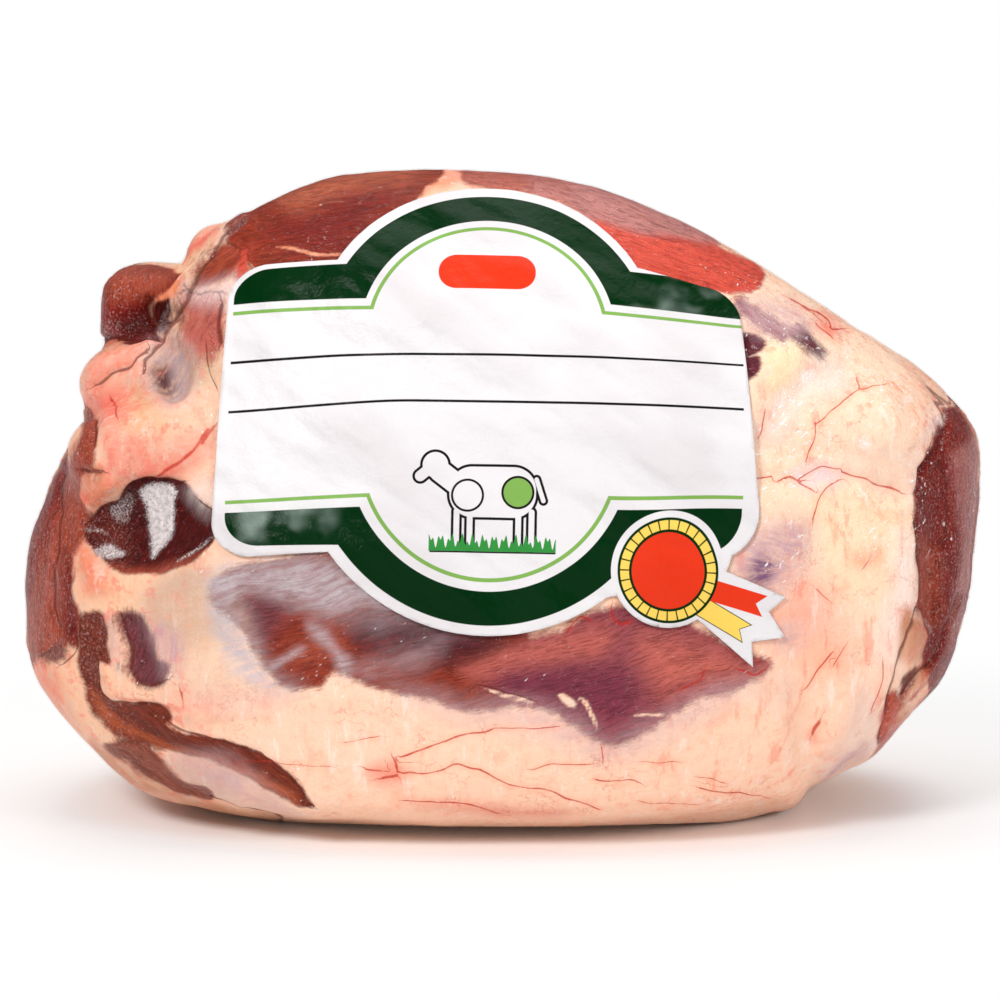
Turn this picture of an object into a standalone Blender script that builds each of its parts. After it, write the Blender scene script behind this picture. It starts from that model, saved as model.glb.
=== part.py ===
"""A raw leg of lamb, pressed into a compact block by its vacuum bag, with the pack's label on its front.

Two nodes: leg, the sealed bag with the meat in it as one solid, and label, the die-cut sheet that lies on it.
The block stands on its flat underside. +X runs along it to its cut end, -Y faces the label's side, +Z is up,
and the origin is the middle of the footprint's box. Lengths below are millimetres until they meet MM.
"""

import math

import bmesh
import bpy
from mathutils import Matrix, Vector

MM = 0.001

# The block as a stack of level sections: height, left end, right end, front, back, squareness.
# Squareness is the exponent of the section's rounded outline: 2 is an ellipse, and more is boxier.
SECTIONS = (
    (0.0, -62.0, 66.0, -42.0, 36.0, 2.4),
    (5.0, -86.0, 75.0, -52.0, 46.0, 2.4),
    (10.0, -94.0, 82.0, -57.0, 51.0, 2.5),
    (15.0, -99.0, 89.0, -60.0, 54.0, 2.5),
    (25.0, -107.5, 99.0, -62.5, 56.0, 2.6),
    (35.0, -113.5, 107.0, -63.5, 57.0, 2.6),
    (49.0, -115.0, 111.0, -63.5, 57.5, 2.6),
    (64.0, -114.5, 113.0, -62.5, 57.5, 2.6),
    (78.0, -109.5, 114.0, -60.5, 56.5, 2.6),
    (93.0, -100.5, 113.0, -57.0, 53.5, 2.5),
    (103.0, -92.5, 103.0, -53.5, 50.0, 2.5),
    (113.0, -84.5, 88.5, -49.0, 45.5, 2.5),
    (123.0, -78.5, 74.0, -43.5, 40.0, 2.5),
    (133.0, -71.5, 58.0, -36.0, 33.0, 2.5),
    (138.0, -67.5, 49.0, -31.0, 28.5, 2.5),
    (143.0, -61.5, 39.0, -25.5, 23.5, 2.4),
    (147.5, -54.0, 29.0, -20.0, 18.5, 2.4),
    (152.0, -42.0, 11.0, -13.0, 11.5, 2.2),
)
CREST = Vector((-17.0, -1.0, 154.6))
RING_POINTS = 80
LEVEL_STEP = 3.0

# Lumps that stand out of the block: name, centre, half sizes, turn about Z, tilt about Y, squareness.
# Turns and tilts are in degrees.
LUMPS = (
    ("cut_chunk", (-83.5, 14.0, 118.5), (13.5, 19.0, 10.5), -6.0, 6.0, 4.5),
    ("trim_chunk", (-76.0, 2.0, 121.0), (7.5, 12.0, 8.0), 10.0, 0.0, 3.0),
    ("fat_knob", (-70.0, 8.0, 134.0), (7.0, 9.0, 6.0), 0.0, -30.0, 2.2),
    ("belly_fold", (-87.0, -2.0, 105.5), (15.0, 19.0, 10.0), -10.0, -32.0, 2.6),
    ("flank_pad", (-83.0, -29.0, 91.0), (19.5, 19.0, 12.5), 14.0, -18.0, 2.5),
    ("shank_roll", (-98.5, -20.0, 42.0), (12.5, 27.0, 14.0), 22.0, 8.0, 2.6),
    ("rump_roll", (82.0, -2.0, 27.0), (13.0, 34.0, 13.0), -14.0, 30.0, 2.6),
    ("rump_rim", (83.0, -25.0, 66.0), (15.0, 24.0, 41.0), -24.0, 3.0, 3.0),
)

# Furrows between the muscle groups, where the bag pulls in: name, start, end, half width and depth.
FURROWS = (
    ("chunk_gap", (-76.0, -14.0, 124.0), (-96.0, 0.0, 112.0), 3.5, 3.5),
    ("fold_gap", (-100.0, -16.0, 98.0), (-74.0, -42.0, 108.0), 4.0, 2.5),
    ("pocket", (-104.0, -36.0, 74.0), (-70.0, -58.0, 80.0), 4.5, 3.5),
    ("pocket_floor", (-106.0, -40.0, 52.0), (-72.0, -62.0, 56.0), 4.0, 1.5),
    ("cut_band", (-106.0, -44.0, 48.0), (-98.0, -50.0, 26.0), 4.0, 2.2),
    ("cut_band_low", (-98.0, -50.0, 26.0), (-54.0, -54.0, 5.0), 4.0, 2.0),
    ("end_step", (104.0, -34.0, 90.0), (100.0, -42.0, 22.0), 4.0, 2.4),
    ("rump_crease", (71.0, -56.0, 26.0), (72.0, -48.0, 4.0), 4.0, 1.8),
    ("back_seam", (-84.0, 44.0, 36.0), (66.0, 48.0, 84.0), 9.0, 2.6),
    ("back_split", (-12.0, 56.0, 56.0), (-34.0, 34.0, 126.0), 8.0, 2.2),
    ("back_fold", (30.0, 57.0, 72.0), (84.0, 40.0, 30.0), 7.0, 2.0),
)

LUMP_SUBDIVISIONS = 4

# How finely the lumps are grown together, and how far their creases are eased.
VOXEL = 2.4
EASE_PASSES = 5
EASE_SHARE = 0.5
LEG_TRIANGLES = 7600
# A furrow fades out at this many half widths from its line, and keeps this much of its depth at its ends.
FURROW_REACH = 3.0
FURROW_END_SHARE = 0.45
# How much of the underside is planed off to leave the flat face that the block stands on.
PLANED = 0.6

# The label's own plane leans back on the front of the block. Its outline is two arcs over a wide plaque.
LABEL_CENTRE = Vector((-4.6, -56.0, 105.6))
LABEL_LEAN = math.radians(20.0)
LABEL_TURN = math.radians(-1.1)
PLAQUE_HALF_WIDTH = 61.6
PLAQUE_HALF_HEIGHT = 34.8
PLAQUE_CORNER = 9.0
ARC_RADIUS = 45.5
UPPER_ARC_TOP = 54.2
LOWER_ARC_FOOT = -52.4
LOWER_ARC_SHIFT = 1.6
# The award ribbon that the outline follows at the lower right: its disc, and the tips of its tails.
SEAL_CENTRE = Vector((41.0, -36.6))
SEAL_RADIUS = 12.8
TAIL_TIPS = (
    (51.6, -49.0),
    (63.0, -58.0),
    (62.2, -51.8),
    (69.0, -50.6),
    (65.5, -45.2),
    (69.4, -41.8),
    (55.5, -37.0),
)
# Where the disc gives way to the first tail, and where the plaque's corner comes out from behind the last.
SEAL_END = math.radians(306.0)
CORNER_START = math.radians(-70.0)
LABEL_CLEARANCE = 0.35
LABEL_THICKNESS = 0.45
ARC_STEP = math.radians(6.0)
CUTTER_REACH = 45.0
# A sharp corner moves out no further than this many times the distance asked for.
MITRE_LIMIT = 1.5

FAT_COLOUR = (0.80, 0.56, 0.42, 1.0)
PAPER_COLOUR = (0.86, 0.85, 0.85, 1.0)


def clear_scene():
    """Remove whatever the file opened with."""
    for obj in list(bpy.data.objects):
        bpy.data.objects.remove(obj)


def material(name, colour, roughness):
    """A plain surface of one colour."""
    made = bpy.data.materials.new(name)
    made.use_nodes = True
    shader = made.node_tree.nodes["Principled BSDF"]
    shader.inputs["Base Color"].default_value = colour
    shader.inputs["Roughness"].default_value = roughness
    shader.inputs["Metallic"].default_value = 0.0
    return made


def object_of(name, mesh):
    """A mesh as an object in the scene."""
    obj = bpy.data.objects.new(name, mesh)
    bpy.context.scene.collection.objects.link(obj)
    return obj


def object_from(name, shape):
    """A bmesh as an object in the scene. The bmesh is freed."""
    mesh = bpy.data.meshes.new(name)
    shape.to_mesh(mesh)
    shape.free()
    return object_of(name, mesh)


def signed_power(value, exponent):
    """A power that keeps the sign of its base."""
    return math.copysign(abs(value) ** exponent, value)


def section_at(height):
    """Left, right, front, back and squareness at a height, on a smooth curve through SECTIONS."""
    last = len(SECTIONS) - 2
    row = max(i for i in range(last + 1) if SECTIONS[i][0] <= height or i == 0)
    before, start = SECTIONS[max(row - 1, 0)], SECTIONS[row]
    end, after = SECTIONS[row + 1], SECTIONS[min(row + 2, last + 1)]
    span = end[0] - start[0]
    t = (height - start[0]) / span
    values = []
    for column in range(1, 6):
        into = (end[column] - before[column]) / max(end[0] - before[0], span) * span
        out = (after[column] - start[column]) / max(after[0] - start[0], span) * span
        values.append(
            start[column] * (2 * t**3 - 3 * t**2 + 1)
            + into * (t**3 - 2 * t**2 + t)
            + end[column] * (3 * t**2 - 2 * t**3)
            + out * (t**3 - t**2)
        )
    return values


def ring(shape, height):
    """One level section as a loop of edges."""
    left, right, front, back, squareness = section_at(height)
    made = bmesh.ops.create_circle(shape, segments=RING_POINTS, radius=1.0)
    for vertex in made["verts"]:
        x = signed_power(vertex.co.x, 2.0 / squareness)
        y = signed_power(vertex.co.y, 2.0 / squareness)
        vertex.co.x = (left + right) / 2 + x * (right - left) / 2
        vertex.co.y = (front + back) / 2 + y * (back - front) / 2
        vertex.co.z = height
    return list({edge for vertex in made["verts"] for edge in vertex.link_edges})


def block():
    """The pressed block: the sections joined from the footprint to the crest."""
    shape = bmesh.new()
    top = SECTIONS[-1][0]
    levels = math.ceil(top / LEVEL_STEP)
    loops = [ring(shape, top * i / levels) for i in range(levels + 1)]
    for lower, upper in zip(loops, loops[1:]):
        bmesh.ops.bridge_loops(shape, edges=lower + upper)
    bmesh.ops.contextual_create(shape, geom=loops[0])
    cap = bmesh.ops.contextual_create(shape, geom=loops[-1])["faces"]
    crown = bmesh.ops.poke(shape, faces=cap)["verts"]
    crown[0].co = CREST
    bmesh.ops.recalc_face_normals(shape, faces=shape.faces)
    return object_from("block", shape)


def lump(name, centre, half_sizes, turn, tilt, squareness):
    """A rounded lump of meat or fat: a ball pressed towards a box."""
    shape = bmesh.new()
    bmesh.ops.create_icosphere(shape, subdivisions=LUMP_SUBDIVISIONS, radius=1.0)
    for vertex in shape.verts:
        total = sum(abs(c) ** squareness for c in vertex.co)
        vertex.co *= total ** (-1.0 / squareness)
    place = (
        Matrix.Translation(centre)
        @ Matrix.Rotation(math.radians(turn), 4, "Z")
        @ Matrix.Rotation(math.radians(tilt), 4, "Y")
        @ Matrix.Diagonal((*half_sizes, 1.0))
    )
    bmesh.ops.transform(shape, matrix=place, verts=shape.verts)
    return object_from(name, shape)


def joined(name, parts):
    """One object holding the meshes of several, which are removed."""
    shape = bmesh.new()
    for part in parts:
        shape.from_mesh(part.data)
        bpy.data.objects.remove(part)
    return object_from(name, shape)


def evaluated(obj):
    """The object's mesh with its modifiers applied, as a new bmesh. The object is removed."""
    graph = bpy.context.evaluated_depsgraph_get()
    shape = bmesh.new()
    shape.from_object(obj, graph)
    bpy.data.objects.remove(obj)
    return shape


def fused(parts):
    """The overlapping parts grown together into one skin, with their creases eased."""
    obj = joined("fused", parts)
    remesh = obj.modifiers.new("fuse", "REMESH")
    remesh.mode = "VOXEL"
    remesh.voxel_size = VOXEL
    ease = obj.modifiers.new("ease", "SMOOTH")
    ease.factor = EASE_SHARE
    ease.iterations = EASE_PASSES
    return evaluated(obj)


def press_furrow(shape, start, end, half_width, depth):
    """Draw the skin in along a straight furrow that fades at its ends and sides."""
    start, end = Vector(start), Vector(end)
    run = end - start
    for vertex in shape.verts:
        share = max(0.0, min(1.0, (vertex.co - start).dot(run) / run.length_squared))
        reach = (vertex.co - start - run * share).length / half_width
        if reach < FURROW_REACH:
            fade = FURROW_END_SHARE + (1.0 - FURROW_END_SHARE) * math.sin(math.pi * share)
            vertex.co -= vertex.normal * depth * fade * math.exp(-(reach**2) / 2)


def level_underside(shape):
    """Cut the skin off flat at the surface it stands on."""
    geometry = list(shape.verts) + list(shape.edges) + list(shape.faces)
    floor = SECTIONS[0][0] + PLANED
    cut = bmesh.ops.bisect_plane(
        shape,
        geom=geometry,
        plane_co=(0.0, 0.0, floor),
        plane_no=(0.0, 0.0, -1.0),
        clear_outer=True,
    )
    edges = [e for e in cut["geom_cut"] if isinstance(e, bmesh.types.BMEdge)]
    bmesh.ops.contextual_create(shape, geom=edges)
    bmesh.ops.translate(shape, verts=shape.verts, vec=(0.0, 0.0, -floor))
    bmesh.ops.triangulate(shape, faces=shape.faces)


def leg():
    """The sealed leg of lamb as one solid, in millimetres."""
    shape = fused([block(), *(lump(*values) for values in LUMPS)])
    for _, *furrow in FURROWS:
        shape.normal_update()
        press_furrow(shape, *furrow)
    obj = object_from("skin", shape)
    thin = obj.modifiers.new("thin", "DECIMATE")
    thin.ratio = LEG_TRIANGLES / (2.0 * len(obj.data.polygons))
    shape = evaluated(obj)
    level_underside(shape)
    return object_from("leg", shape)


def arc(centre, radius, start, end):
    """Points along an arc, both ends included. Angles are in radians."""
    steps = max(2, math.ceil(abs(end - start) / ARC_STEP))
    angles = [start + (end - start) * i / steps for i in range(steps + 1)]
    return [centre + radius * Vector((math.cos(a), math.sin(a))) for a in angles]


def lower_crossing(centre, radius, other_centre, other_radius):
    """The lower of the two points where one circle crosses another."""
    gap = other_centre - centre
    along = (gap.length_squared + radius**2 - other_radius**2) / (2 * gap.length)
    aside = math.sqrt(radius**2 - along**2)
    forward = gap.normalized()
    return centre + forward * along + Vector((forward.y, -forward.x)) * aside


def bearing(centre, point):
    """The angle at which a point lies from a centre, from 0 to a full turn."""
    return math.atan2(point.y - centre.y, point.x - centre.x) % (2 * math.pi)


def label_outline():
    """The die-cut outline in the label's own plane, counterclockwise from the left end of the lower arc."""
    width, height, corner = PLAQUE_HALF_WIDTH, PLAQUE_HALF_HEIGHT, PLAQUE_CORNER
    above = Vector((0.0, UPPER_ARC_TOP - ARC_RADIUS))
    below = Vector((LOWER_ARC_SHIFT, LOWER_ARC_FOOT + ARC_RADIUS))
    upper_notch = math.asin((height - above.y) / ARC_RADIUS)
    lower_notch = math.asin((height + below.y) / ARC_RADIUS)
    meets = lower_crossing(below, ARC_RADIUS, SEAL_CENTRE, SEAL_RADIUS)
    half_turn = math.pi
    quarter = half_turn / 2
    points = arc(below, ARC_RADIUS, half_turn + lower_notch, bearing(below, meets))
    points += arc(SEAL_CENTRE, SEAL_RADIUS, bearing(SEAL_CENTRE, meets), SEAL_END)[1:]
    points += [Vector(tip) for tip in TAIL_TIPS]
    points += arc(Vector((width - corner, corner - height)), corner, CORNER_START, 0.0)
    points += arc(Vector((width - corner, height - corner)), corner, 0.0, quarter)
    points += arc(above, ARC_RADIUS, upper_notch, half_turn - upper_notch)
    points += arc(Vector((corner - width, height - corner)), corner, quarter, half_turn)
    points += arc(Vector((corner - width, corner - height)), corner, half_turn, half_turn + quarter)
    return points


def label_place():
    """The label's plane: its X runs along the block, its Y up the front and its Z outwards."""
    lean = Matrix.Rotation(math.pi / 2 - LABEL_LEAN, 4, "X")
    return Matrix.Translation(LABEL_CENTRE) @ lean @ Matrix.Rotation(LABEL_TURN, 4, "Z")


def label_prism():
    """A tall prism on the label's outline, which cuts its shape out of a skin of the block."""
    shape = bmesh.new()
    corners = [shape.verts.new((p.x, p.y, -CUTTER_REACH)) for p in label_outline()]
    face = shape.faces.new(corners)
    raised = bmesh.ops.extrude_face_region(shape, geom=[face])["geom"]
    moved = [v for v in raised if isinstance(v, bmesh.types.BMVert)]
    bmesh.ops.translate(shape, verts=moved, vec=(0.0, 0.0, 2 * CUTTER_REACH))
    bmesh.ops.recalc_face_normals(shape, faces=shape.faces)
    bmesh.ops.transform(shape, matrix=label_place(), verts=shape.verts)
    return object_from("label_prism", shape)


def grown(mesh, distance, name):
    """A copy of a closed mesh with its skin moved out by a distance."""
    shape = bmesh.new()
    shape.from_mesh(mesh)
    shape.normal_update()
    for vertex in shape.verts:
        vertex.co += vertex.normal * distance * min(vertex.calc_shell_factor(), MITRE_LIMIT)
    return object_from(name, shape)


def combine(obj, cutter, operation):
    """The Boolean of two objects, as a new bmesh. Both are removed."""
    step = obj.modifiers.new("combine", "BOOLEAN")
    step.object = cutter
    step.operation = operation
    shape = evaluated(obj)
    bpy.data.objects.remove(cutter)
    return shape


def label(leg_mesh):
    """The label: what the prism cuts from a thin skin that lies just clear of the leg."""
    outside = grown(leg_mesh, LABEL_CLEARANCE + LABEL_THICKNESS, "outside")
    sheet = object_from("sheet", combine(outside, label_prism(), "INTERSECT"))
    inside = grown(leg_mesh, LABEL_CLEARANCE, "inside")
    return object_from("label", combine(sheet, inside, "DIFFERENCE"))


def centre_and_scale(objects):
    """Bring the origin to the middle of the footprint's box, and the meshes from millimetres to metres."""
    corners = [v.co for obj in objects for v in obj.data.vertices]
    middle = [(min(c[i] for c in corners) + max(c[i] for c in corners)) / 2 for i in (0, 1)]
    place = Matrix.Scale(MM, 4) @ Matrix.Translation((-middle[0], -middle[1], 0.0))
    for obj in objects:
        obj.data.transform(place)


def main():
    """Build both nodes and give them their surfaces."""
    clear_scene()
    leg_node = leg()
    label_node = label(leg_node.data)
    centre_and_scale([leg_node, label_node])
    leg_node.data.materials.append(material("meat_in_film", FAT_COLOUR, 0.35))
    label_node.data.materials.append(material("label_paper", PAPER_COLOUR, 0.4))
    leg_node.data.shade_smooth()


main()
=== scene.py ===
"""A raw leg of lamb in a clear vacuum bag, with its label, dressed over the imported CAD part.

The meat is one skin grown from the leg's solid. Its muscles, fat, silverskin, veins and cuts are drawn on the front
as named patches in millimetres, then carried to the mesh as distances that the surface's shader sharpens. The bag is
a second skin shrunk over the meat, and the label is a thin sheet draped on its front.
"""

import logging
import math
from collections.abc import Iterable, Sequence
from dataclasses import dataclass, field
from enum import Enum

import bmesh
import bpy
import numpy as np
from mathutils import Matrix, Vector, noise
from mathutils.bvhtree import BVHTree


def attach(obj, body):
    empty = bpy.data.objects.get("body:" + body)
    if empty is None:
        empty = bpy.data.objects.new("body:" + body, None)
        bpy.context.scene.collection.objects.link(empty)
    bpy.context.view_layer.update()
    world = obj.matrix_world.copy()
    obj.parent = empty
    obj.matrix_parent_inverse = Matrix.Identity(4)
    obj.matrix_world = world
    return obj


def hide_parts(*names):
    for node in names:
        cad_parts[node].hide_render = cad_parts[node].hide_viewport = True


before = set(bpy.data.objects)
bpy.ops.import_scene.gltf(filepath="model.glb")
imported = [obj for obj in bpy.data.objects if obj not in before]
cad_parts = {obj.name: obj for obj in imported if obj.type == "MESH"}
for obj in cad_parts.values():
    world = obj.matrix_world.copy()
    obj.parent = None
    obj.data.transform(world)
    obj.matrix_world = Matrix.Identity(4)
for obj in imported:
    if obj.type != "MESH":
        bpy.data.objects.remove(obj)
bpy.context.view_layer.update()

log = logging.getLogger("lamb")

MM = 0.001

# The place the front is drawn from. Drawing units are millimetres on the upright plane through the block's middle.
EYE_DISTANCE = 900.0
EYE_ELEVATION = math.radians(9.5)
EYE_AIM = (0.0, 0.0, 74.5)
LENS_MM = 134.0
LENS_SHIFT = (-0.0015, -0.0035)

Points = Sequence[tuple[float, float]]


class Tissue(Enum):
    """What a patch of the surface is made of."""

    FAT = "fat"
    MUSCLE = "muscle"
    SKIN = "silverskin"


class Side(Enum):
    """Which side of the block a patch is drawn on."""

    FRONT = "front"
    BACK = "back"
    CUT_END = "cut end"
    SHANK_END = "shank end"
    TOP = "top"
    UNDER = "under"


# Colours by name, as they print: red, green and blue out of 255.
TONES = {
    "fat_peach": (253, 206, 178), "fat_light": (250, 212, 184), "fat_cream": (252, 210, 174),
    "fat_yellow": (250, 218, 180), "fat_back": (250, 205, 176), "pink_rose": (230, 138, 118),
    "pink_fat": (248, 172, 150), "orange_fat": (246, 150, 108), "rim_pink": (253, 226, 212),
    "yellow_grey": (210, 176, 145), "rose_brown": (214, 140, 110), "orange_pink": (243, 152, 120),
    "pad_cream": (232, 186, 148), "blood_pink": (238, 112, 96), "cream_grey": (222, 184, 164),
    "edge_brown": (215, 158, 120), "tan_fat": (205, 140, 108), "tendon": (226, 186, 172),
    "brown_red": (140, 50, 30), "deep_red": (120, 26, 16), "tan_red": (178, 92, 64),
    "dull_red": (180, 98, 82), "mauve_red": (190, 126, 120), "bright_red": (214, 80, 62),
    "brick_red": (160, 68, 46), "rose_red": (196, 100, 88), "wet_red": (128, 20, 8),
    "black_red": (62, 4, 3), "dark_brown": (92, 30, 20), "grey_brown": (140, 88, 76),
    "wet_dark": (70, 3, 3), "wet_brown": (98, 34, 26), "cut_brown": (118, 46, 28),
    "orange_brown": (176, 84, 46), "rose_brown_muscle": (142, 74, 56), "plum": (112, 52, 58),
    "plum_dark": (84, 26, 32), "purple_red": (146, 70, 78), "purple_deep": (122, 50, 68),
    "wine": (96, 26, 44), "mauve_wine": (150, 78, 92), "marbled_mauve": (192, 126, 120),
    "orange_red": (190, 74, 46), "grey_blue": (176, 150, 150), "dark_speck": (90, 52, 52),
    "lavender_white": (236, 206, 204), "silver_blue": (196, 180, 184), "lavender_grey": (206, 168, 170),
    "pearl": (230, 212, 204), "tan_grey": (222, 184, 162), "mauve_grey": (190, 150, 160),
    # cleft: the cuts' dark red, with painted shade of the crevices in it.
    "mauve_dark": (122, 84, 116), "blood": (190, 38, 26), "cleft": (92, 26, 18), "sheen": (226, 206, 204),
    "leaf_green": (0, 42, 12), "line_green": (126, 170, 82), "sun_yellow": (246, 208, 96),
    "poppy": (226, 56, 28), "ink": (22, 20, 22), "paper": (226, 222, 223), "grass": (52, 140, 62),
}


def linear(tone: str) -> tuple[float, float, float]:
    """A named colour as linear light."""
    return tuple(((c / 255 + 0.055) / 1.055) ** 2.4 if c > 10 else c / 255 / 12.92 for c in TONES[tone])


def ease(low: float, high: float, value: np.ndarray) -> np.ndarray:
    """A smooth step from 0 to 1 as the value goes from low to high."""
    t = np.clip((value - low) / (high - low), 0.0, 1.0)
    return t * t * (3 - 2 * t)


@dataclass(frozen=True)
class Patch:
    """One patch of tissue, drawn as a closed smooth outline on one side of the block.

    Over marks fat that lies on a muscle, tone a change of colour inside a muscle, and wraps a patch that runs on
    round the block. Soft, grain and rise are the edge's half width, the fibres' direction and the height.
    """

    name: str
    tissue: Tissue
    colour: str
    outline: Points
    soft: float = 2.0
    amount: float = 1.0
    grain: float = 0.0
    rise: float = 0.0
    over: bool = False
    tone: bool = False
    wraps: bool = False
    side: Side = Side.FRONT


@dataclass(frozen=True)
class Line:
    """A vein, cut or fold: a smooth path with a half width, and a height where it is relief."""

    path: Points
    half_width: float
    rise: float = 0.0
    side: Side = Side.FRONT


@dataclass(frozen=True)
class PaintedGlare:
    """A place where the bag stands off the meat, with its silvery glare painted on as a milky white layer."""

    outline: Points
    amount: float
    soft: float


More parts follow.
